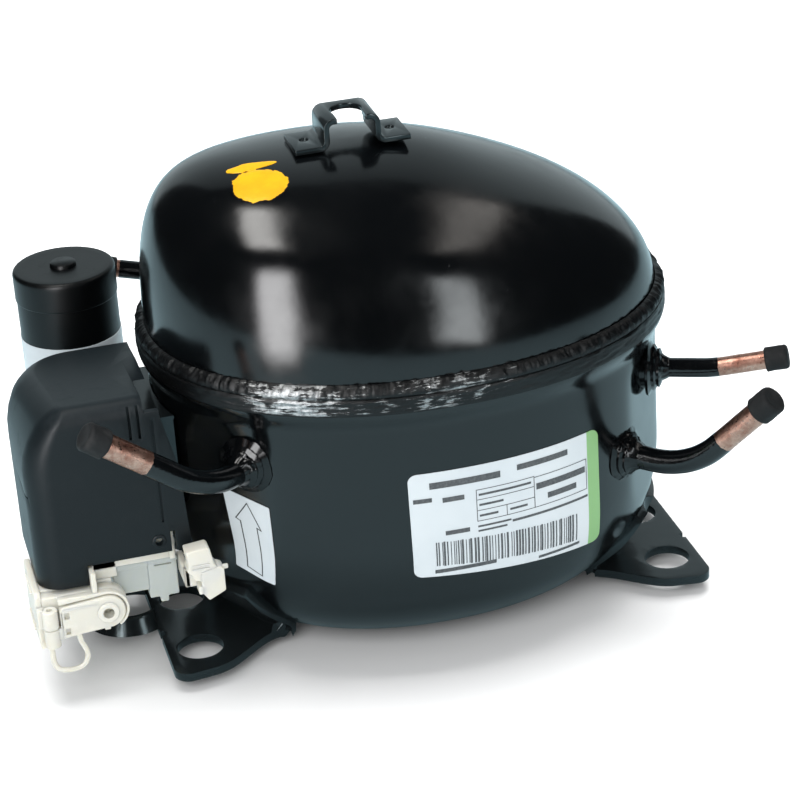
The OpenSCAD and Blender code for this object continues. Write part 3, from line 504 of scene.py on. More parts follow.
def satin_black():
    s = Shader("satin_black")
    rubbed = s.ramp(s.noise(5, 5, 0.7), 0.6, 0.8)
    # The black is lifted to about one percent: partly the paint's own colour, partly a painted
    # reflection of the bright room
    colour = s.mix(rubbed, (0.0095, 0.0120, 0.0130), (0.019, 0.022, 0.023))
    normal = s.bump(s.noise(2.2, 3), 0.015, s.bump(s.noise(9, 2), 0.06))
    return s.set(Base_Color=colour, Roughness=s.ramp(rubbed, 0, 1, 0.16, 0.34), Normal=normal,
                 Specular_IOR_Level=0.42, Specular_Tint=(0.8, 0.96, 1.0, 1))


def metal(name, colour, roughness, grain_mm, stretch=(1, 1, 1), stain=0.25, metallic=1.0):
    """Bare metal with fine grain, handling stains and slight colour change."""
    s = Shader(name)
    grain = s.noise(grain_mm, 3, 0.6, stretch)
    stains = s.ramp(s.noise(6, 5, 0.65), 0.45, 0.75)
    tint = s.mix(s.math("MULTIPLY", stains, stain), colour, [c * 0.45 for c in colour])
    dull = s.math("ADD", s.ramp(grain, 0.3, 0.7, roughness - 0.08, roughness + 0.08),
                  s.math("MULTIPLY", stains, 0.15))
    return s.set(Base_Color=tint, Metallic=metallic, Roughness=dull, Normal=s.bump(grain, 0.012))


def plastic(name, colour, roughness, grain_mm, grain, scatter=0.0, wear=0.3, shine=0.5):
    """Moulded plastic: fine spark-eroded grain, faint flow marks and rubbed patches, which a
    piece can ask for with its own attribute."""
    s = Shader(name)
    asked = s.math("MULTIPLY", s.attribute("worn"), s.ramp(s.noise(1.6, 4, 0.7), 0.42, 0.62))
    rubbed = s.math("MAXIMUM", s.ramp(s.noise(8, 5, 0.7), 0.55, 0.85), asked)
    flow = s.noise(30, 2)
    marked = s.mix(s.ramp(flow, 0.3, 0.7, 0, 0.35), colour, [c * 0.82 for c in colour])
    lighter = [min(1, c * 1.6 + 0.01) for c in colour]
    normal = s.bump(s.noise(grain_mm, 2), grain, s.bump(flow, 0.1))
    s.set(Base_Color=s.mix(s.math("MULTIPLY", rubbed, wear), marked, lighter), Normal=normal,
          Roughness=s.ramp(rubbed, 0, 1, roughness, roughness + 0.15), Specular_IOR_Level=shine)
    if scatter:
        s.set(Subsurface_Weight=scatter, Subsurface_Scale=2.5 * MM,
              Subsurface_Radius=(1.0, 0.85, 0.6))
    return s.material


def tube_paint():
    """Black paint that ends in a ragged edge on bare, scratched copper."""
    s = Shader("tube_paint")
    edge = s.math("ADD", s.attribute("bare"), s.ramp(s.noise(1.2, 3), 0.3, 0.7, -0.12, 0.12))
    bare = s.ramp(edge, 0.49, 0.52)
    tarnish = s.ramp(s.noise(3.5, 5, 0.7), 0.4, 0.7)
    copper = s.mix(tarnish, (0.60, 0.35, 0.27), (0.36, 0.15, 0.105))
    scratched = s.ramp(s.noise(1.1, 4, 0.7), 0.35, 0.65, 0.24, 0.42)
    normal = s.bump(s.noise(0.7, 3), 0.02, s.bump(edge, 0.1))
    return s.set(Base_Color=s.mix(bare, PAINT_BLACK, copper), Metallic=bare,
                 Roughness=s.mix(bare, [0.14] * 3, scratched), Normal=normal)


def rubber():
    s = Shader("plug_rubber")
    dusty = s.ramp(s.noise(4, 4), 0.5, 0.8)
    colour = s.mix(dusty, (0.005, 0.0055, 0.006), (0.018, 0.018, 0.018))
    return s.set(Base_Color=colour, Roughness=0.72, Normal=s.bump(s.noise(0.6, 4, 0.7), 0.08),
                 Specular_IOR_Level=0.3)


def label_face(name, band=None):
    """Glossy white film with a slight cast; band is the x where a green strip starts."""
    s = Shader(name)
    clouded = s.ramp(s.noise(25, 3), 0.3, 0.7)
    colour = s.mix(clouded, (0.58, 0.635, 0.665), (0.52, 0.58, 0.615))
    if band is not None:
        split = s.add("SeparateXYZ")
        s.link(s.place, split.inputs[0])
        green = s.ramp(split.outputs["X"], band * MM, (band + 0.2) * MM)
        colour = s.mix(green, colour, (0.21, 0.41, 0.165))
    return s.set(Base_Color=colour, Roughness=0.26, Normal=s.bump(s.noise(4, 3), 0.012))


def flat_ink(name, colour):
    s = Shader(name)
    worn = s.ramp(s.noise(0.8, 3), 0.3, 0.8, 0, 0.25)
    return s.set(Base_Color=s.mix(worn, colour, [min(1, c + 0.25) for c in colour]),
                 Roughness=0.4)


def yellow_paint():
    s = Shader("yellow_paint")
    thin = s.ramp(s.noise(6, 4, 0.6), 0.35, 0.75)
    colour = s.mix(thin, (0.60, 0.315, 0.002), (0.55, 0.25, 0.001))
    return s.set(Base_Color=colour, Roughness=0.25, Normal=s.bump(s.noise(2.5, 3), 0.03),
                 Specular_IOR_Level=0.2)


def glass():
    s = Shader("glass_seal")
    bubbles = s.ramp(s.cells(0.9), 0.0, 0.25, 1, 0)
    return s.set(Base_Color=(0.05, 0.16, 0.13), Roughness=0.08, Transmission_Weight=0.5,
                 Normal=s.bump(bubbles, 0.02))


def winding():
    """Enamelled wire laid in bundles."""
    s = Shader("copper_winding")
    strands = s.wave(1.5, 1.5, wave_type="RINGS", rings_direction="Z")
    colour = s.mix(strands, (0.22, 0.06, 0.02), (0.62, 0.24, 0.08))
    return s.set(Base_Color=colour, Metallic=0.6, Roughness=0.3, Normal=s.bump(strands, 0.2))


def lamination():
    """Stacked sheets: fine lines square to the shaft."""
    s = Shader("lamination")
    lines = s.wave(3.2, wave_type="BANDS", bands_direction="Z")
    colour = s.mix(lines, (0.08, 0.085, 0.095), (0.28, 0.29, 0.31))
    return s.set(Base_Color=colour, Metallic=0.8, Roughness=0.42, Normal=s.bump(lines, 0.08))


# Black paint of the rim and weld, with bright metal for chips and for a painted highlight along
# the front
rim_paint = black_paint("rim_black", 0.2, 0.02, 0.32, chips_and_highlight=True)
MATERIALS = {
    "black_paint": black_paint("gloss_black"),
    "weld": rim_paint,
    "plate_paint": satin_black(),
    "tube_copper": tube_paint(),
    "plug_rubber": rubber(),
    "glass_seal": glass(),
    "label_white": label_face("label_white"),
    "copper_winding": winding(),
    "lamination": lamination(),
}
# Slot, colour, roughness, grain size and what differs from the usual
for name, colour, roughness, grain_mm, other in (
        ("bare_steel", (0.55, 0.55, 0.56), 0.32, 0.5, {}),
        ("zinc_steel", (0.44, 0.49, 0.51), 0.3, 1.4, {"stain": 0.6, "metallic": 0.55}),
        ("brass_screw", (0.72, 0.55, 0.22), 0.3, 0.8, {}),
        ("cast_iron", (0.24, 0.24, 0.25), 0.55, 0.9, {"stain": 0.5}),
        ("ground_steel", (0.58, 0.59, 0.61), 0.2, 0.3, {"stretch": (1, 1, 6)}),
        ("reed_steel", (0.32, 0.36, 0.44), 0.24, 0.5, {}),
        ("alloy", (0.66, 0.67, 0.69), 0.38, 0.7, {}),
        ("bronze", (0.60, 0.42, 0.20), 0.34, 0.4, {}),
        ("loop_copper", (0.50, 0.28, 0.17), 0.32, 0.8, {})):
    MATERIALS[name] = metal(name, colour, roughness, grain_mm, **other)
# The same for plastics, with the depth of the grain after its size
for name, colour, roughness, grain_mm, grain, other in (
        ("cover_plastic", (0.0050, 0.0080, 0.0098), 0.42, 0.45, 0.03, {"shine": 0.24}),
        ("relay_plastic", (0.47, 0.505, 0.485), 0.3, 1.2, 0.01, {"scatter": 0.7, "wear": 0.1}),
        ("white_nylon", (0.68, 0.665, 0.595), 0.36, 1.0, 0.01, {"scatter": 0.45, "wear": 0.25}),
        ("phenolic", (0.02, 0.017, 0.015), 0.4, 0.5, 0.02, {}),
        ("capacitor_black", (0.0008, 0.0013, 0.0016), 0.36, 0.8, 0.015, {"shine": 0.3}),
        ("gasket_fibre", (0.10, 0.12, 0.10), 0.75, 0.4, 0.05, {}),
        ("muffler_plastic", (0.72, 0.68, 0.54), 0.5, 0.5, 0.03, {"scatter": 0.2})):
    MATERIALS[name] = plastic(name, colour, roughness, grain_mm, grain, **other)


def finish_piece(obj, name, slot, *stands_for, body="housing", material=None, angle=35.0):
    """Name, smooth shading, material from its slot and body of a new piece; hides the parts it
    stands for.
    """
    obj.name = obj.data.name = name
    for face in obj.data.polygons:
        face.use_smooth = True
    obj.data.set_sharp_from_angle(angle=math.radians(angle))
    obj.data.materials.clear()
    obj.data.materials.append(material or MATERIALS[slot])
    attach(obj, body)
    if stands_for:
        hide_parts(*stands_for)


# ---------- shell ----------

RING_N = 288          # points round the shell


def wall_spot(off, angle, z):
    x, y = oval(shell_a + off, shell_b + off, angle)
    return Vector((shell_x + x, y, z))


def wall_ring(off, z, press=None):
    ring = [wall_spot(off, 360 * i / RING_N, z) for i in range(RING_N)]
    return ring if press is None else [press_flat(p, press) for p in ring]


def radial(p):
    """Level direction from the shell's centre to a point."""
    return Vector((p.x - shell_x, p.y, 0)).normalized()


def bowl_outside():
    """(offset from the wall, height) from the flat of the bottom up to the rim's top."""
    out = [(y - CORNER_R, shell_low + CORNER_R - x) for x, y in arc(0, 0, CORNER_R, 0, 90, 30)]
    z = shell_low + CORNER_R
    flare_z, flare_h = rim_z - 9, 9
    while z < flare_z - 3:
        z += 3
        out.append((0.0, z))
    out += [(RIM_FLARE * smooth(k / 10), flare_z + flare_h * k / 10) for k in range(11)]
    out += [(RIM_FLARE, rim_z + 0.45 * k) for k in range(1, 10)]
    return out + [(RIM_FLARE - 0.25, rim_top - 0.25), (RIM_FLARE - 0.8, rim_top)]


def bare_and_highlight_share(p):
    """Where the weld shows bright metal: two places at the front, which are a painted highlight of
    the bead, and small chips in its paint.
    """
    phi = math.degrees(math.atan2(p.y, p.x - shell_x)) % 360
    value = 0.0
    # Front places where bright metal paints the highlight of the bead and rim edge
    for centre, half, most in ((230, 13.5, 0.74), (268.5, 14, 0.5), (250, 10, 0.34)):
        value = max(value, most * smooth(1.35 - abs(phi - centre) / half))
    value *= 0.9 + 0.7 * rough(p.x, p.y, p.z * 2, 5)
    return min(1.0, value + 0.22 * max(0.0, rough(*p, 7)))


def port_place(port):
    """Frame of a port: +X leaves the shell and +Z is the side its tube bends to."""
    place = Matrix.Translation((*wall_at(port.angle), port.z))
    place = place @ Matrix.Rotation(math.radians(port.heading), 4, "Z")
    return place @ Matrix.Rotation(math.radians(-port.roll), 4, "X")


def make_bowl():
    outside = bowl_outside()
    rings = []
    for off, z in outside:
        ring = wall_ring(off, z, 0.0)
        if z > rim_z - 0.3:
            ring = [p + radial(p) * 0.32 * rough(p.x, p.y, p.z * 2, 2.2) for p in ring]
        rings.append(ring)
    pocket_z = rim_z - 0.6
    rings += [wall_ring(0.1, rim_top), wall_ring(0.1, pocket_z), wall_ring(-SHELL_T, pocket_z)]
    rings += [wall_ring(off - SHELL_T, z + SHELL_T * (1 - smooth((z - shell_low) / CORNER_R)),
                        SHELL_T) for off, z in reversed(outside) if z < rim_z - 12]
    bottom = Vector((shell_x, 0, shell_low))
    obj = loft(rings, tips=(bottom, bottom + Vector((0, 0, SHELL_T))))
    for port in PORTS.values():
        inside = port_place(port) @ Matrix.Translation((-14, 0, 0))
        drill(obj, COLLAR_R + 0.05, 24, inside, 48)
    low, high = box_mm("terminal_body")
    middle = (low + high) / 2
    hole_r, depth = 16, 16
    drill(obj, hole_r, depth, Matrix.Translation((low.x - 4, middle.y, middle.z)), 64)
    # Bright metal on the rim: chips and a painted highlight at the front
    store(obj, "bare", [bare_and_highlight_share(p) if p.z > rim_z - 0.5 else 0.0 for p in spots(obj)])
    finish_piece(obj, "bowl", "black_paint", "lower_housing")
    obj.data.materials.append(rim_paint)
    for face in obj.data.polygons:
        face.material_index = 1 if face.center.z > (rim_z - 0.7) * MM else 0


def dome_scale(curve, u):
    root = curve[1] + max(0.0, 2 - curve[1]) * u ** 10
    return max(0.0, 1 - u ** curve[0]) ** (1 / root)


def lid_span(u, off=0.0):
    """Left end, right end and half width of the upper cover at height share u."""
    left = APEX_X - (APEX_X - shell_x + shell_a - off) * dome_scale(LEFT_CURVE, u)
    right = APEX_X + (shell_x + shell_a - off - APEX_X) * dome_scale(RIGHT_CURVE, u)
    return left, right, (shell_b - off) * dome_scale(SIDE_CURVE, u)


def lid_point(u, angle, off=0.0):
    """Point of the upper cover at height share u, moved inwards by off."""
    left, right, wide = lid_span(u, off)
    x, y = oval((right - left) / 2, wide, angle)
    return Vector(((left + right) / 2 + x, y, rim_top + (lid_h - off) * u))


def make_dome():
    steps = 72
    shares = [1 - (1 - k / steps) ** 3.2 for k in range(steps)]
    angles = [360 * i / RING_N for i in range(RING_N)]
    outer = [[lid_point(u, a) for a in angles] for u in shares]
    inner = [[lid_point(u, a, SHELL_T) for a in angles] for u in reversed(shares)]
    skirt = [[Vector((p.x, p.y, rim_z - 0.5)) for p in ring] for ring in (inner[-1], outer[0])]
    top = Vector((APEX_X, 0, rim_top + lid_h))
    obj = loft(inner + skirt + outer, tips=(top - Vector((0, 0, SHELL_T)), top))
    finish_piece(obj, "dome", "black_paint", "upper_cover")


def make_weld():
    """Rippled bead with lumps and spatter that fills the corner between rim and dome."""
    around = 1440
    hidden = [(0.1, 4.2), (0.1, -0.4), (RIM_FLARE - 0.5, -0.3)]
    seen = [(RIM_FLARE - 0.15, 0.7), (RIM_FLARE - 0.35, 1.9), (RIM_FLARE - 1.0, 3.0),
            (RIM_FLARE - 1.9, 3.9)]
    rings = []
    for i in range(around):
        phi = 360 * i / around
        ripple = 0.05 * math.sin(phi * 2.6 + 2 * rough(phi, 0, 0, 11))
        ring = [wall_spot(off, phi, rim_top + up) for off, up in hidden]
        for off, up in seen:
            p = wall_spot(off, phi, rim_top + up)
            lump = 0.42 * rough(*p, 2.4, 4) + 0.3 * rough(*p, 9) + ripple
            ring.append(p + radial(p) * lump + Vector((0, 0, 0.8 * lump)))
        rings.append(ring)
    obj = loft(rings, wrap=True)
    # Bright metal on the bead: chips and a painted highlight at the front
    store(obj, "bare", [bare_and_highlight_share(p) for p in spots(obj)])
    finish_piece(obj, "weld_seam", "weld", "weld_bead", angle=80)


def dome_at(x, y, lift):
    """Point on the dome above a plan position, moved out along the surface's normal."""

    def height(px, py):
        low, high = 0.0, 1.0
        for _ in range(40):
            u = (low + high) / 2
            left, right, wide = lid_span(u)
            half, wide = max((right - left) / 2, 1e-6), max(wide, 1e-6)
            share = (abs(px - (left + right) / 2) / half) ** SHELL_POW
            inside = share + (abs(py) / wide) ** SHELL_POW < 1
            low, high = (u, high) if inside else (low, u)
        return rim_top + lid_h * low

    step = 0.5
    normal = Vector((height(x - step, y) - height(x + step, y),
                     height(x, y - step) - height(x, y + step), 2 * step)).normalized()
    return Vector((x, y, height(x, y))) + normal * lift


def make_yellow_mark():
    """Dab of marking paint on the dome: a blob and a brush stroke, laid on the surface."""
    steps, size = 110, 26
    middle = Vector((-47.5, -22.0))
    across, along = Vector((0.943, -0.333)), Vector((0.333, 0.943))

    def cover(u, v):
        blob = 1 - math.hypot(u / 9.3, (v - 0.8) / 8.3)
        su, sv = (u + 3.9) * 0.945 + (v - 11.0) * 0.326, (v - 11.0) * 0.945 - (u + 3.9) * 0.326
        stroke = 1 - math.hypot(su / 8.6, sv / (2.5 - 0.08 * su))
        return max(blob, stroke) + 0.09 * rough(u, v, 0, 4)

    points, keep = [], []
    for r in range(steps + 1):
        for c in range(steps + 1):
            u, v = -14 + size * c / steps, -10 + size * r / steps
            spot = middle + across * u + along * v
            points.append(dome_at(spot.x, spot.y, 0.03 + 0.2 * smooth(cover(u, v) * 5)))
            keep.append(cover(u, v) > 0)
    quads = grid_faces(steps + 1, steps + 1)
    obj = add_mesh(points, [quad for quad in quads if all(keep[i] for i in quad)])
    with editing(obj) as work:
        loose = [v for v in work.verts if not v.link_faces]
        bmesh.ops.delete(work, geom=loose, context="VERTS")
    finish_piece(thicken(obj, 0.12), "marking_paint", "black_paint", material=yellow_paint(),
                 angle=80)


def make_tray_bracket():
    low, high = box_mm("tray_bracket")
    t, r = 2.0, 2.6   # sheet thickness, radius of its bends
    z_foot, z_hat = low.z + t / 2, high.z - t / 2
    leg_l, leg_r = -21.5, -4.0
    path = [(low.x, z_foot)]
    for x, z, start, end in ((leg_l - r, z_foot + r, -90, 0), (leg_l + r, z_hat - r, 180, 90),
                             (leg_r - r, z_hat - r, 90, 0), (leg_r + r, z_foot + r, 180, 270)):
        path += arc(x, z, r, start, end, 8)
    obj = bent_strip(path + [(high.x, z_foot)], t, high.y - low.y, front_at(low.y))
    hole_x, hole_y, slot_half = -12.75, -2.0, 4.9
    drill(obj, 5.4, 10, upright(hole_x, hole_y, z_hat - 4), 64)
    cut(obj, ((hole_x - slot_half, low.y - 5, z_hat - 4), (hole_x + slot_half, hole_y, z_hat + 5)))
    pit = [(0, 0), (0, 1.9), (1.4, 1.5), (1.9, 0.9), (1.9, 0)]
    for x in (-27.5, 2.0):
        above = Matrix.Translation((x, -1, low.z + t + 1))
        boolean(obj, lathe(pit, above @ Matrix.Rotation(math.radians(90), 4, "Y"), 24))
    finish_piece(bevel(obj, 0.35, 3, 40), "tray_strap", "plate_paint", "tray_bracket")


make_bowl()
make_dome()
make_weld()
make_yellow_mark()
make_tray_bracket()


# ---------- base plates ----------

PLATE_EDGE = box_mm("base_plate_right")[1].x
PLATE_T = 3.0
GROMMET_X, GROMMET_R = 85.0, 8.0


def edge_collar():
    """Round drawn collar, open in the middle, that stands out of the left plate's edge."""
    low_r, top_r, high, wall = 15.4, 12.4, 5.8, 1.6
    profile = [(0, low_r - wall), (0, low_r)]
    profile += [(high * k / 6, low_r + (top_r - low_r) * k / 6) for k in range(1, 6)]
    profile += [(high - 0.3, top_r + 0.1), (high, top_r - 0.3), (high, top_r - wall + 0.2)]
    profile += [(high - 0.2, top_r - wall)]
    obj = lathe(profile, upright(-103.7, 0, 0), 96)
    return boolean(obj, block((-130, -20, -1), (0.3 - PLATE_EDGE, 20, 10), 0), "INTERSECT")


def make_base_plate(name, node, side):
    """Stamped plate: a saddle that hugs the shell, a rounded bend and a flat foot with
    grommet holes. side is 1 on the right and -1 on the left."""
    centre = Vector((shell_x * side, 0, 0))
    half, corner = 51.6, 5.5

    def hugging(z, angle):
        """Point of the plate's top against the shell, as on the right side."""
        d = inset(z) - PLATE_T
        return centre + Vector((*oval(shell_a - d, shell_b - d, angle), z))

    edge = [(PLATE_EDGE, (half - corner) * k / 12) for k in range(12)]
    edge += arc(PLATE_EDGE - corner, half - corner, corner, 0, 90, 14)
    edge += [(84 - 30 * k / 24, 42 + 8.5 * math.cos(math.pi * k / 24)) for k in range(1, 25)]
    edge = [(x, -y) for x, y in reversed(edge[1:])] + edge
    columns = []
    for c, (x, y) in enumerate(edge):
        share = 2 * c / (len(edge) - 1) - 1
        column = [hugging(z, share * (35.2 + (24 - z) * 0.25)) for z in range(24, 10, -2)]
        knee, bend = hugging(9.0, share * 38.8), hugging(PLATE_T, share * 40)
        foot = bend + Vector((*(bend - centre).xy, 0)).normalized() * 3.0
        for s in (k / 6 for k in range(1, 7)):
            column.append(knee * (1 - s) ** 2 + bend * 2 * s * (1 - s) + foot * s ** 2)
        column += [foot.lerp(Vector((x, y, PLATE_T)), k / 10) for k in range(1, 11)]
        columns.append(column)
    points = [(p.x * side, p.y, p.z) for column in columns for p in column]
    obj = add_mesh(points, grid_faces(len(columns), len(columns[0])))
    if side < 0:
        obj.data.flip_normals()
    outward(thicken(obj, PLATE_T))
    for y in (-35.0, 0.0, 35.0):
        drill(obj, GROMMET_R, 30, upright(GROMMET_X * side, y, -3), 72)
    drill(obj, 1.6, 12, upright(PLATE_EDGE * side, -22, -3))
    bevel(obj, 0.45, 3, 50)
    if side < 0:
        obj = join([obj, edge_collar()])
    finish_piece(obj, name, "plate_paint", node)


make_base_plate("foot_right", "base_plate_right", 1)
make_base_plate("foot_left", "base_plate_left", -1)


# ---------- stubs, collars and plugs ----------

def stub_path(port):
    """Centre line of a stub, and the distance of each of its points from the far end."""
    start, steps = -8.0, 26
    local = [Vector((start + (port.straight - start) * k / 6, 0, 0)) for k in range(6)]
    for x, z in arc(port.straight, port.radius, port.radius, -90, port.turn - 90, steps):
        local.append(Vector((x, 0, z)))
    turn = math.radians(port.turn)
    along = Vector((math.cos(turn), 0, math.sin(turn))) * port.end
    local += [local[-1] + along * k / 24 for k in range(1, 25)]
    points = [port_place(port) @ p for p in local]
    left = [0.0]
    for a, b in zip(points[::-1], points[-2::-1]):
        left.append(left[-1] + (a - b).length)
    return points, left[::-1]


def make_stub(name, port):
    points, left = stub_path(port)
    r = port.outside / 2

    def painted(i, t):
        return r + 0.04 * rough(*points[i], 8) + 0.10 * smooth((left[i] - port.bare) * 2)

    def bare(p):
        i = min(range(len(points)), key=lambda k: (points[k] - p).length_squared)
        from_end = left[i] - (p - points[i]).dot(heading(points, i))
        return smooth((port.bare - from_end) / 2 + 0.5)

    inner = tube_rings(points, lambda i, t: r - TUBE_T)
    obj = loft(tube_rings(points, painted) + inner[::-1], wrap=True)
    store(obj, "bare", [bare(p) for p in spots(obj)])
    finish_piece(obj, name + "_pipe", "tube_copper", name + "_tube", angle=50)


def make_plug(name, port):
    points = stub_path(port)[0]
    e = (points[-1] - points[-2]).normalized()
    place = Matrix((e, *axes_along(e))).transposed().to_4x4()
    place.translation = points[-1] - e * PLUG_COVERS
    r_in, r_out, length = port.outside / 2 + 0.04, port.outside / 2 + 0.95, 8.0
    profile = [(0, r_in), (0.05, r_out - 0.35), (0.35, r_out)]
    profile += [(0.35 + (length - 1.4) * k / 8, r_out) for k in range(1, 9)]
    profile += [(length - 0.55, r_out - 0.2), (length - 0.15, r_out - 0.65)]
    profile += [(length, r_out - 1.4), (length - 0.25, r_out - 2.3), (length - 0.3, 0)]
    profile += [(PLUG_COVERS + 0.1, 0), (PLUG_COVERS + 0.1, r_in)]

    def wear(x, r, t):
        if r <= r_in + 1e-6:
            return 0.0
        return 0.16 * rough(x + port.heading, 5 * math.cos(t), 5 * math.sin(t), 3.0)

    finish_piece(lathe(profile, place, 64, wear), name + "_cap", "plug_rubber", name + "_plug",
                 body=name + "_plug", angle=50)


def make_collars():
    """Rolled steel collars with the rings and drips of a brazed, painted joint."""
    collars = []
    for port in PORTS.values():
        r = port.outside / 2
        profile = [(-9, r + 0.1), (-9, COLLAR_R), (-2.2, COLLAR_R), (-1.8, 9.6), (-0.9, 9.9),
                   (-0.2, 8.6), (0.3, 7.7), (1.0, 7.9), (1.5, 7.2), (1.9, 6.5), (2.6, 6.7),
                   (3.1, 6.0), (3.6, r + 1.3), (4.5, r + 0.9), (5.6, r + 0.25), (6.0, r + 0.1)]

        def lumps(x, rr, t):
            if x < -2 or rr < r + 0.2:
                return 0.0
            return 0.35 * rough(x * 1.5, 7 * math.cos(t) + port.z, 7 * math.sin(t), 2.6, 4)

        collars.append(lathe(profile, port_place(port), 96, lumps))
    finish_piece(join(collars), "brazed_collars", "black_paint", "tube_collars",
                 material=black_paint("collar_black", 0.16, 0.012, 0.4), angle=60)


for name, port in PORTS.items():
    make_stub(name, port)
    make_plug(name, port)
make_collars()


# ---------- labels ----------

def front_spot(x, z, lift):
    """Point on the front of the wall at x and height z, moved out by lift."""

    def wall(px, pz):
        a, b = shell_a - inset(pz), shell_b - inset(pz)
        y = -b * max(0.0, 1 - (abs(px - shell_x) / a) ** SHELL_POW) ** (1 / SHELL_POW)
        return press_flat(Vector((px, y, pz)), 0.0)

    side, up = wall(x + 0.4, z) - wall(x - 0.4, z), wall(x, z + 0.4) - wall(x, z - 0.4)
    return wall(x, z) + side.cross(up).normalized() * lift


def in_quad(corners, u, v):
    """Place between four corners at the shares u across and v down."""
    tl, tr, br, bl = corners
    return tl.lerp(tr, u).lerp(bl.lerp(br, u), v)


def film(corners, lift, thick, round_r=0.0, cols=40, rows=12):
    """Thin sheet stuck on the wall. corners are (x, z) at top left, top right, bottom right and
    bottom left, and round_r rounds them off."""
    corners = tl, tr, br, bl = [Vector(c) for c in corners]
    width = ((tr - tl).length + (br - bl).length) / 2
    height = ((bl - tl).length + (br - tr).length) / 2
    across = [k / cols for k in range(cols + 1)]
    if round_r:
        end = round_r / width
        ends = [end * (1 - math.cos(math.radians(15 * k))) for k in range(6)]
        across = ends + [end + (1 - 2 * end) * u for u in across] + [1 - e for e in ends[::-1]]
    points = []
    for layer in (lift + thick, lift):
        for u in across:
            d = min(u, 1 - u) * width
            trim = 0.0
            if d < round_r:
                trim = (round_r - math.sqrt(round_r ** 2 - (round_r - d) ** 2)) / height
            for r in range(rows + 1):
                spot = in_quad(corners, u, trim + (1 - 2 * trim) * r / rows)
                points.append(front_spot(*spot, layer))
    n, m = len(across), rows + 1
    faces = []
    for a, b, c, d in grid_faces(n, m):
        faces += [(a, b, c, d), (n * m + a, n * m + d, n * m + c, n * m + b)]
    rim = list(range(m)) + [c * m + rows for c in range(1, n)]
    rim += [(n - 1) * m + r for r in range(rows - 1, -1, -1)]
    rim += [c * m for c in range(n - 2, 0, -1)]
    for i, j in zip(rim, rim[1:] + rim[:1]):
        faces.append((i, n * m + i, n * m + j, j))
    return outward(add_mesh(points, faces))


def line_film(start, end, width):
    """Thin printed line between two (x, z) places on the wall."""
    a, b = Vector(start), Vector(end)
    along = (b - a).normalized()
    side = Vector((-along.y, along.x)) * width / 2
    a, b = a - along * width / 2, b + along * width / 2
    cols = max(1, int((b - a).length / 1.5))
    return film((a + side, b + side, b - side, a - side), 0.36, 0.02, cols=cols, rows=1)


def outline_films(corners, width):
    """Printed lines round an outline."""
    return [line_film(a, b, width) for a, b in zip(corners, corners[1:] + corners[:1])]


def make_rating_label():
    """Rating label without any lettering: frames, rules and plain bars stand in its place."""
    sheet = film(((-17, 74), (51.5, 74.2), (51.5, 30.2), (-16.6, 35.2)), 0.12, 0.2, 3.0, 60, 20)
    finish_piece(sheet, "rating_film", "label_white", "rating_label",
                 material=label_face("rating", 46.8))
    prints = outline_films([(5.6, 53.4), (26.1, 53.4), (26.1, 65), (5.6, 65)], 0.25)
    prints += outline_films([(26.1, 53.4), (46.2, 53.4), (46.2, 64.6), (26.1, 64.6)], 0.25)
    for start, end in (((5.6, 61.3), (26.1, 61.3)), ((5.6, 57.3), (26.1, 57.3)),
                       ((16, 53.4), (16, 57.3))):
        prints.append(line_film(start, end, 0.25))
    # Bars where the words would be: left end, right end, height, thickness
    for x0, x1, z, w in ((-8.8, 13, 69.2, 2.4), (21.2, 38, 70, 2.1), (-14.8, -10.2, 64.1, 1.6),
                         (-5, 0.6, 63.4, 1.8), (28, 44.5, 61, 2.3), (32, 41, 56.5, 2.1),
                         (6.8, 24.6, 63.1, 0.8), (6.8, 14.5, 59.3, 0.8), (6.8, 12.5, 55.3, 0.8),
                         (17.5, 23, 55.3, 0.8), (6, 17, 51.4, 0.7), (6, 15.5, 49.7, 0.7),
                         (18.2, 46, 50.8, 0.9), (-4.7, 2, 51, 1.6), (-8.8, 10.9, 36.7, 1.5),
                         (27.7, 42.5, 33.4, 1.1)):
        prints.append(line_film((x0, z), (x1, z), w))
    random.seed(7)
    start = x = -8.8
    while x < 42.5:
        w = random.choice((0.3, 0.45, 0.7))
        top, low = 47.8 - 0.05 * (x - start), 39.2 - 0.08 * (x - start)
        prints.append(line_film((x, top), (x, low), w))
        x += w + random.choice((0.35, 0.5, 0.75))
    finish_piece(join(prints), "rating_print", "label_white",
                 material=flat_ink("print_grey", (0.045, 0.05, 0.055)))


def make_flow_label():
    """White sticker with the outline of an arrow."""
    corners = [Vector(c) for c in ((-74.4, 63.8), (-60.6, 61.2), (-59.9, 31), (-71.8, 35))]
    finish_piece(film(corners, 0.12, 0.2, 0.5, 24, 16), "flow_film", "label_white",
                 "flow_arrow_label")
    arrow = ((0.47, 0.07), (0.16, 0.33), (0.255, 0.345), (0.28, 0.93), (0.67, 0.95),
             (0.63, 0.34), (0.73, 0.35))
    lines = outline_films([in_quad(corners, u, v) for u, v in arrow], 0.3)
    finish_piece(join(lines), "flow_arrow_print", "label_white",
                 material=flat_ink("arrow_black", (0.012, 0.013, 0.014)))


make_rating_label()
make_flow_label()


# ---------- start capacitor ----------

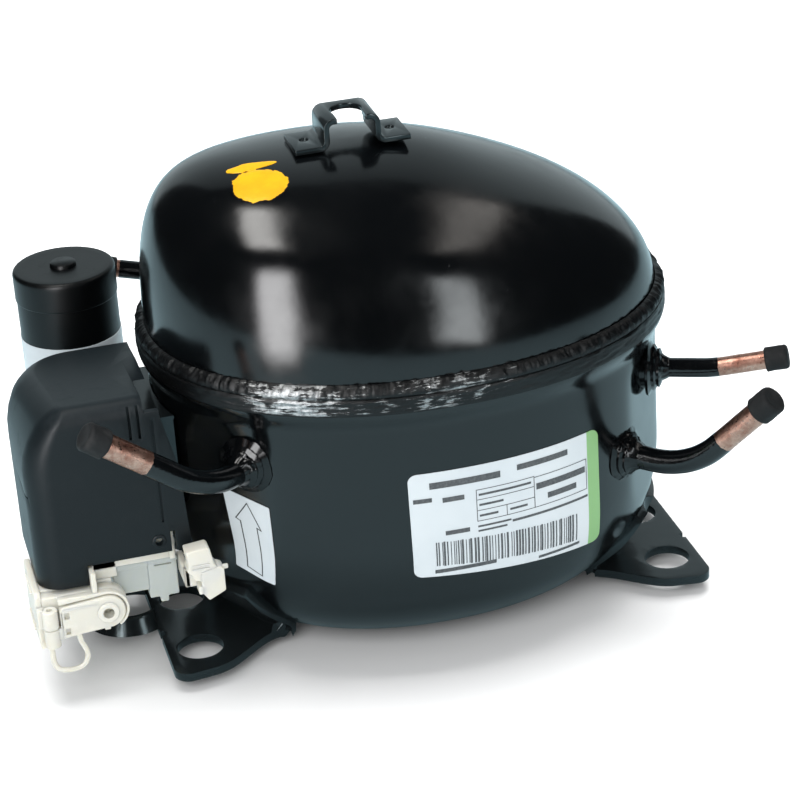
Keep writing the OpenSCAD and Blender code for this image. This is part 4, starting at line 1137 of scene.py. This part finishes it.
def make_capacitor():
    """Moulded can with a pushed-on cap, a paper sleeve and a clamp band with its leg."""
    low, high = box_mm("start_capacitor")
    cap_low, cap_high = box_mm("capacitor_cap")
    sleeve_low, sleeve_high = box_mm("capacitor_label")
    bracket_low = box_mm("capacitor_bracket")[0]
    x, y = (low.x + high.x) / 2, (low.y + high.y) / 2
    r, r_cap = (high.x - low.x) / 2, (cap_high.x - cap_low.x) / 2
    axis = upright(x, y, 0)

    z0, z1 = low.z, cap_low.z
    can = [(z0, 0), (z0, r - 3), (z0 + 0.5, r - 1.2), (z0 + 1.6, r - 0.2), (z0 + 3, r)]
    can += [(z0 + 3 + (z1 - z0 - 2) * k / 10, r) for k in range(1, 11)]
    can += [(z1 + 8, r - 0.3), (z1 + 8, 0)]
    finish_piece(lathe(can, axis, 120), "capacitor_can", "capacitor_black", "start_capacitor")

    top, edge_r = cap_high.z - 1.5, 1.6
    cap = [(z1, r + 0.06), (z1, r_cap - 0.35), (z1 + 0.35, r_cap)]
    cap += [(z1 + 0.6 + (top - z1 - 2.2) * k / 6, r_cap) for k in range(7)]
    cap += arc(top - edge_r, r_cap - edge_r, edge_r, 75, 0, 5)
    cap += [(top - 0.05, r_cap - 4), (top, 6.5), (top, 4.75), (top + 1.2, 4.6), (top + 1.5, 4.3)]
    cap += [(top + 1.5, 0), (cap_high.z - 4, 0), (cap_high.z - 4, r + 0.06)]
    finish_piece(lathe(cap, axis, 120), "capacitor_top", "capacitor_black", "capacitor_cap",
                 angle=50)

    steps, start, turn, paper = 132, 60, 330, 0.18
    rings = []
    for c, s in arc(0, 0, 1, start, start + turn, steps):
        ragged = 0.12 * rough(9 * c, 9 * s, 3, 4)
        inside = r + 0.05 + 0.06 * abs(ragged)
        zs = [sleeve_low.z + (sleeve_high.z + ragged - sleeve_low.z) * j / 12 for j in range(13)]
        ring = [(x + c * (inside + paper), y + s * (inside + paper), z) for z in zs]
        rings.append(ring + [(x + c * inside, y + s * inside, z) for z in reversed(zs)])
    finish_piece(loft(rings), "capacitor_sleeve", "label_white", "capacitor_label")

    band_low, band_top, band_in, band_out = 33, 45, r + 0.08, r + 1.6
    band = [(band_low, band_in), (band_low, band_out - 0.3), (band_low + 0.4, band_out),
            (band_top - 0.4, band_out), (band_top, band_out - 0.3), (band_top, band_in)]
    leg_y, bend_r, t = 49.3, 2.4, 1.5
    bend_z = bracket_low.z + 3.2
    path = [(leg_y, band_top), (leg_y, bend_z)] + arc(47.6, bend_z, bend_r, -15, -90, 5)
    path.append((bracket_low.y + 0.1, bracket_low.z + t / 2))
    leg = bent_strip(path, t, 10, side_at(-92))
    drill(leg, 1.7, 9, upright(-86.5, 45.8, 0))
    bevel(leg, 0.25, 2, 40)
    finish_piece(join([lathe(band, axis, 120), leg]), "capacitor_clamp", "zinc_steel",
                 "capacitor_bracket")


make_capacitor()


# ---------- terminal cover and cord clamp ----------

COVER_FRONT_R, COVER_BACK_R, COVER_ROUND = 9.0, 26.0, 6.5
cover_low, cover_high = box_mm("terminal_cover")
COVER_TOP = 102.0             # top at the front edge, before it slopes down to the back
COVER_SLOPE = 8 / (cover_high.y - cover_low.y)
COVER_RIGHT = -80.0
LEAN_X, LEAN_Z = -114.0, 79.0  # the left side leans inwards beyond these


def cover_plan(t):
    """Plan outline of the cover moved inwards by t, open towards the shell."""
    x0, y0, y1 = cover_low.x, cover_low.y, cover_high.y
    back_x = x0 + COVER_BACK_R
    points = [(COVER_RIGHT - 42 * k / 14, y0 + t) for k in range(14)]
    points += arc(x0 + COVER_FRONT_R, y0 + COVER_FRONT_R, COVER_FRONT_R - t, 270, 180, 12)
    points += arc(back_x, y1 - COVER_BACK_R, COVER_BACK_R - t, 180, 90, 20)
    return points + [(back_x + (COVER_RIGHT - back_x) * k / 8, y1 - t) for k in range(1, 9)]


def lean(p):
    """Leans the cover's left side inwards towards the top."""
    share = min(1.0, max(0.0, (LEAN_X - p.x) / (LEAN_X - cover_low.x)))
    return p + Vector((0.0235 * max(0.0, p.z - LEAN_Z) ** 2 * share, 0, 0))


def cover_solid(t, low_z):
    """Closed block of the cover's outside, moved inwards by t."""
    radius = COVER_ROUND - t

    def height(y):
        return COVER_TOP - t - COVER_SLOPE * (y - cover_low.y)

    def ring(inwards, z_at):
        return [lean(Vector((x, y, z_at(y)))) for x, y in cover_plan(inwards)]

    rings = [ring(t, lambda y: low_z + (height(y) - radius - low_z) * k / 12) for k in range(13)]
    rings += [ring(t + radius * (1 - c), lambda y: height(y) - radius * (1 - s))
              for c, s in arc(0, 0, 1, 9, 90, 9)]
    x, y = -104, -6
    return loft(rings, tips=(Vector((x, y, low_z)), Vector((x, y, height(y)))))


def make_terminal_cover():
    obj = cover_solid(0, cover_low.z)
    boolean(obj, cover_solid(2.0, cover_low.z - 2))
    keep = [(-150, 0), (-84.6, 0), (-84.6, 44), (-86.3, 75), (-91, 95.5), (-91, 97), (-96, 97),
            (-96, 115), (-150, 115)]
    boolean(obj, prism(keep, 160, front_at(-80), 0), "INTERSECT")
    front, outside = cover_low.y, -60
    cut(obj, ((-120.3, outside, 30), (-70, -15, 44.6)), ((-91.6, outside, 41), (-90.0, -36, 52)))
    screw_x, screw_z = -95.6, 49
    drill(obj, 1.3, 26, backwards(screw_x, outside, screw_z))
    cut(obj, *[((x, outside, 88), (x + 0.9, front + 1.6, 110)) for x in (-101.5, -98.5)],
        ((-94, outside, 56), (-93.2, front + 0.8, 94)),
        ((-150, outside, 70.4), (cover_low.x + 0.8, -20, 70.9)))
    bevel(obj, 0.3, 2, 50)
    rim = [(0, 1.45), (0, 2.2), (0.2, 2.45), (0.7, 2.5), (0.7, 1.45)]
    obj = join([obj, lathe(rim, backwards(screw_x, front - 0.45, screw_z), 40)])
    worn_z = COVER_TOP - 3.5
    store(obj, "worn", [smooth(1 - abs(p.z - worn_z) / 5) * smooth((front + 9 - p.y) / 6)
                        for p in spots(obj)])
    finish_piece(obj, "terminal_hood", "cover_plastic", "terminal_cover", body="terminal_cover",
                 angle=40)


BOSS = (-115.8, 28.7)         # x and z of the clamp's screw
HINGE = (-135.2, -43.8)       # x and y of the clamp's upright pin
KNUCKLE_R = 2.6


def make_clamp_base():
    """Nylon plate on the cover's side with the cord shelf, a rim round the arm and a fin."""
    low = box_mm("cord_clamp_base")[0]
    plate = [(low.y + 2.8, 18.4), (-15, 18.4), (-14, 19.4), (-14, 37), (-15, 38), (-39.5, 38),
             (-41, 36.5), (-41, 20.2)]
    pad = [(-137.2, 22.4), (-137.2, 36)] + arc(*BOSS, 7.3, 90, -59, 18) + [(-112.4, 22.4)]
    rim = [(-132, 36)] + arc(*BOSS, 7.3, 90, -59, 24) + arc(*BOSS, 6.3, -59, 90, 24)
    eye = [(0, 1.05), (0, 2.3), (0.3, KNUCKLE_R), (6.7, KNUCKLE_R), (7, 2.3), (7, 1.05)]
    shelf = block((-137.2, -37, 33.6), (-112.7, -16, 37.0), 0.6)
    parts = [
        prism(plate, 2.2, side_at(low.x), 0.5),
        prism(pad, 5.2, front_at(-41.2), 0.5),
        prism(rim + [(-132, 33.9)], 2.9, front_at(-44.0), 0.3),
        cut(shelf, ((-131, -31, 30), (-119, -15, 40))),
        lathe(eye, upright(*HINGE, 26), 40),
        block((-120.2, -43.5, 35.0), (-118.4, -22.5, 43.4), 0.5),    # fin
        block((-118.5, -36.5, 36.9), (-110.5, -34.7, 46.0)),         # wall and strip
        block((-118.5, -36.5, 40.4), (-90.5, -34.7, 46.0)),
        block((-92.4, -37.9, 40.4), (-90.5, -34.7, 51.0)),           # tab
        block((-105, -36.9, 42.6), (-98, -36.2, 44.2), 0.2),         # step
        block((-139.3, -43.6, 26), (-136.7, -39.8, 33)),             # web at the hinge
    ]
    parts += [block((-140.0, -34, z), (-139.0, -20, z + 1.1), 0.3) for z in (20.6, 34.5)]
    finish_piece(join(parts), "clamp_plate", "white_nylon", "cord_clamp_base",
                 body="terminal_cover")


def make_clamp_jaw():
    """Swinging arm with its hinge pin, a raised ring round the screw hole and small pockets."""
    front = -45.0
    outline = [(-132, 21.5), (-132, 32.4), (-131.2, 33.2)]
    outline += arc(*BOSS, 5.9, 94, -94, 24) + [(-125, 22.2)]
    plate = prism(outline, 3.4, front_at(front), 0.6)
    drill(plate, 1.9, 20, backwards(BOSS[0], front - 8, BOSS[1]), 40)
    cut(plate, *[((x0, front - 1, z0), (x1, front + 1.3, z1)) for x0, z0, x1, z1 in (
        (-130.6, 28.8, -128.9, 31.3), (-130.6, 23.0, -129.0, 25.4), (-131.6, 23.0, -131.3, 31.6))])
    ring = [(-0.9, 1.95), (-0.9, 3.3), (-0.5, 3.7), (0.6, 3.75), (0.6, 1.95)]
    pin = [(0, 0), (0, 2.3), (0.3, KNUCKLE_R), (6.5, KNUCKLE_R), (6.8, 2.3), (6.8, 1.0),
           (12.8, 1.0), (13.0, 0.8), (13.0, 0)]
    parts = [
        plate,
        lathe(ring, backwards(BOSS[0], front, BOSS[1]), 64),
        lathe(pin, upright(*HINGE, 19), 40),
        block((-117.6, front + 0.4, 21.9), (-115.6, front + 2.8, 23.4), 0.3),    # nub
        block((-135, front, 21.5), (-131.2, front + 2.4, 25.7)),                 # arm to the pin
        block((-130.8, front - 0.25, 32.0), (-119.0, front + 0.5, 32.7), 0.2),   # raised edge
    ]
    finish_piece(join(parts), "clamp_arm", "white_nylon", "cord_clamp_jaw",
                 body="cord_clamp_jaw")


def make_clamp_strap():
    """Limp retaining loop: a flat-sided strap that hangs from the clamp."""
    y = -43.3
    keys = [(-135.8, 18.9), (-135.9, 15.0), (-135.6, 12.0), (-134.4, 9.8), (-132.0, 8.8),
            (-128.8, 8.6), (-126.2, 9.4), (-124.7, 11.4), (-124.2, 13.8), (-124.9, 16.4),
            (-125.9, 19.0), (-126.3, 21.9)]
    keys = [Vector((x, y, z)) for x, z in keys]
    path = []
    for a, b, c, d in zip(keys[:1] + keys, keys, keys[1:], keys[2:] + keys[-1:]):
        for t in (j / 6 for j in range(6)):
            path.append(0.5 * (2 * b + (c - a) * t + (2 * a - 5 * b + 4 * c - d) * t * t
                               + (3 * b - a - 3 * c + d) * t ** 3))
    rings = tube_rings(path + keys[-1:], lambda i, t: 0.72 + 0.22 * abs(math.cos(t)) ** 3,
                       side=Vector((0, 1, 0)))
    finish_piece(loft(rings), "clamp_loop", "white_nylon", "cord_clamp_strap",
                 body="cord_clamp_jaw", angle=60)


make_terminal_cover()
make_clamp_base()
make_clamp_jaw()
make_clamp_strap()


# ---------- relay and connector ----------

def make_relay():
    """Milky relay housing: a body with lid lines, a stepped lower end and two ledges."""
    low, high = box_mm("start_relay")
    body = block((-112, low.y, 28), (-99.6, high.y, 67.8), 0.7)
    cut(body, *[((-113, y, 40), (-111.6, y + 0.6, 66)) for y in (-24, -14, -4)])
    lower = [(-99.9, 24.6), (-96.4, 24.6), (-96.4, 22.4), (-93.6, 22.4), (-93.6, 24.6),
             (-89.9, 24.6), (-89.7, 46), (-99.9, 46)]
    step = prism(lower, 20, front_at(low.y), 0.5)
    cut(step, ((-97.6, low.y - 1, 36.6), (-91.6, low.y + 0.8, 37.2)))
    ledges = [block((-99.9, low.y - 0.6, 38.0), (-89.6, low.y + 1, 39.8)),
              block((-112.2, low.y - 0.6, 37.4), (-99.5, low.y + 1, 39.6))]
    finish_piece(join([body, step] + ledges), "relay_case", "relay_plastic", "start_relay")


def make_connector():
    """Push-on connector block with stepped edges, a tongue and a terminal barb."""
    low, high = box_mm("relay_connector")
    front = low.y
    upper = [(-88.7, 48.2), (-81.3, 48.9), (-80.5, 48.2), (-79.5, 42.4), (-77.3, 39.4),
             (-77.3, 37.6), (-80.9, 35.2), (-83.3, 34.4), (-84.1, 36.4), (-86.5, 37.2),
             (-87.1, 39.4), (-88.9, 40.8), (-88.1, 42.6)]
    lower = [(-84.5, 39.9), (-78.1, 41.3), (-76.4, 40.3), (-76.4, 31.9), (-82.3, 29.1),
             (-84.3, 32.1)]
    parts = [
        prism(upper, 6.6, front_at(front), 0.5),
        prism(lower, 6.0, front_at(front - 0.4), 0.5),
        block((-88.1, front + 1.0, 44.2), (-80.3, front + 7.4, 46.0), 0.3),     # wing
        block((-85.5, front - 0.3, 31.8), (-82.9, front + 4.6, 34.8)),          # tooth
        block((-77.9, front + 1.4, 39.0), (-74.7, front + 2.6, 40.6)),          # barb
        block((-89.3, front + 4, 33), (-83.3, front + 6.6, 40), 0.5),           # arm
        block((-89.3, front + 4, 33), (-87.3, high.y, 40), 0.5),                # back
    ]
    parts += [block((-87.1, front - 0.3, z), (-81.1, front + 0.5, z + 0.5), 0.2)
              for z in (41.2, 42.6)]
    finish_piece(join(parts), "connector_block", "white_nylon", "relay_connector")


make_relay()
make_connector()


# ---------- camera, light and floor ----------

def add_camera():
    """A long lens at the front left, looking down; its place is in metres."""
    azimuth, pitch, roll = math.radians(-13.435), math.radians(26.143), math.radians(-3.881)
    back = Vector((math.sin(azimuth) * math.cos(pitch), -math.cos(azimuth) * math.cos(pitch),
                   math.sin(pitch)))
    data = bpy.data.cameras.new("camera")
    data.lens, data.sensor_width = 120.08, 36.0
    data.clip_start, data.clip_end = 0.05, 50
    camera = add_object("camera", data)
    camera.location = (-0.19599, -0.81864, 0.47860)
    camera.rotation_mode = "QUATERNION"
    camera.rotation_quaternion = (-back).to_track_quat("-Z", "Y") @ Quaternion((0, 0, 1), roll)
    scene.camera = camera


def add_floor():
    """White table: it ends behind the camera, so the dome reflects a dark room above it."""
    left, right, near, far, z = -850, 1600, -950, 2200, cad_box[0].z / MM
    floor = add_mesh([(left, near, z), (right, near, z), (right, far, z), (left, far, z)],
                     [(0, 1, 2, 3)], "floor")
    s = Shader("floor_white")
    mirrored = s.add("LightPath").outputs["Is Glossy Ray"]
    # Seen in reflections, the floor is a darker blue-grey: a painted shade for the dimmer floor in
    # front of the shell
    s.set(Base_Color=s.mix(mirrored, (0.90, 0.90, 0.90), (0.37, 0.52, 0.57)), Roughness=0.9,
          Specular_IOR_Level=0.0)
    floor.data.materials.append(s.material)


def add_world():
    """White to the camera, dim to reflections, and an even fill for everything else."""
    world = bpy.data.worlds.new("studio")
    scene.world = world
    world.use_nodes = True
    nodes = Nodes(world.node_tree)
    background = nodes.tree.nodes["Background"]
    background.inputs["Color"].default_value = (0.97, 0.99, 1.0, 1)
    rays = nodes.add("LightPath").outputs
    fill = nodes.math("ADD", nodes.math("MULTIPLY", rays["Is Diffuse Ray"], 0.62), 0.015)
    nodes.link(nodes.math("MAXIMUM", rays["Is Camera Ray"], fill), background.inputs["Strength"])


def add_light(name, location, target, width, height, watts):
    """Soft box that lights surfaces but has no mirror image; lengths are metres."""
    data = bpy.data.lights.new(name, "AREA")
    data.shape = "RECTANGLE"
    data.size, data.size_y, data.energy = width, height, watts
    light = add_object(name, data)
    light.location = location
    light.rotation_mode = "QUATERNION"
    light.rotation_quaternion = (Vector(target) - Vector(location)).to_track_quat("-Z", "Y")
    light.visible_glossy = False
    light.visible_camera = False


def add_card(name, left, right, colour, top_glow, low_glow, soft=0.2):
    """Glowing panel seen only in reflections. left and right are its edges from top to
    bottom, and soft is the share of its width over which it fades out."""
    cols, rows = 24, 36

    def along(edge, v):
        at = v * (len(edge) - 1)
        k = min(int(at), len(edge) - 2)
        return Vector(edge[k]).lerp(Vector(edge[k + 1]), at - k)

    points, glow = [], []
    for v in (r / rows for r in range(rows + 1)):
        a, b = along(left, v), along(right, v)
        for u in (c / cols for c in range(cols + 1)):
            points.append(a.lerp(b, u))
            fade = smooth(min(u, 1 - u) / soft) * smooth(min(v, 1 - v) / (soft * 0.6))
            glow.append(fade * (top_glow + (low_glow - top_glow) * v))
    card = add_mesh(points, grid_faces(rows + 1, cols + 1), name)
    store(card, "glow", glow)
    s = Shader(name)
    s.set(Base_Color=(0, 0, 0), Emission_Color=(*colour, 1), Emission_Strength=s.attribute("glow"),
          Specular_IOR_Level=0.0)
    card.data.materials.append(s.material)
    for kind in ("camera", "diffuse", "shadow", "transmission"):
        setattr(card, "visible_" + kind, False)


add_camera()
add_floor()
add_world()
add_light("key", (0.05, 0.28, 1.5), (0, 0, 0), 1.3, 1.1, 34)
add_light("front", (-0.7, -1.3, 1.1), (0, 0, 0.05), 0.9, 0.9, 14)
add_card("panel_left_high", [(-488, -231, 667), (-184, 218, 802)],
         [(-230, -293, 778), (-20, 202, 818)], (1.0, 0.99, 0.96), 10.0, 9.4, 0.3)
add_card("panel_left_low", [(-322, -217, 421), (-402, -258, 132), (-304, -190, 4)],
         [(-169, -261, 487), (-265, -386, 201), (-240, -283, 14)], (0.99, 0.99, 1.0), 11.5, 14.5,
         0.3)
add_card("panel_right_high", [(369, 298, 786), (269, -338, 842)],
         [(536, 352, 634), (453, -179, 801)], (1.0, 0.95, 0.90), 2.2, 2.4)
add_card("panel_right_low", [(188, -461, 681), (140, -640, 370), (92, -742, 105)],
         [(336, -400, 657), (333, -641, 370), (280, -711, 19)], (0.93, 0.98, 1.0), 5.7, 7.6)
add_card("backdrop", [(-560, 1150, 1750), (-560, 1150, 0)], [(1240, 900, 1750), (1240, 900, 0)],
         (0.82, 0.96, 1.0), 0.24, 0.85, 0.03)
scene.view_settings.view_transform = "Standard"

slots = {s["node"]: s["material_slot"] for s in frame["record"]["subparts"]}
for node, obj in frame["nodes"].items():
    obj.data.materials.clear()
    obj.data.materials.append(MATERIALS[slots[node]])
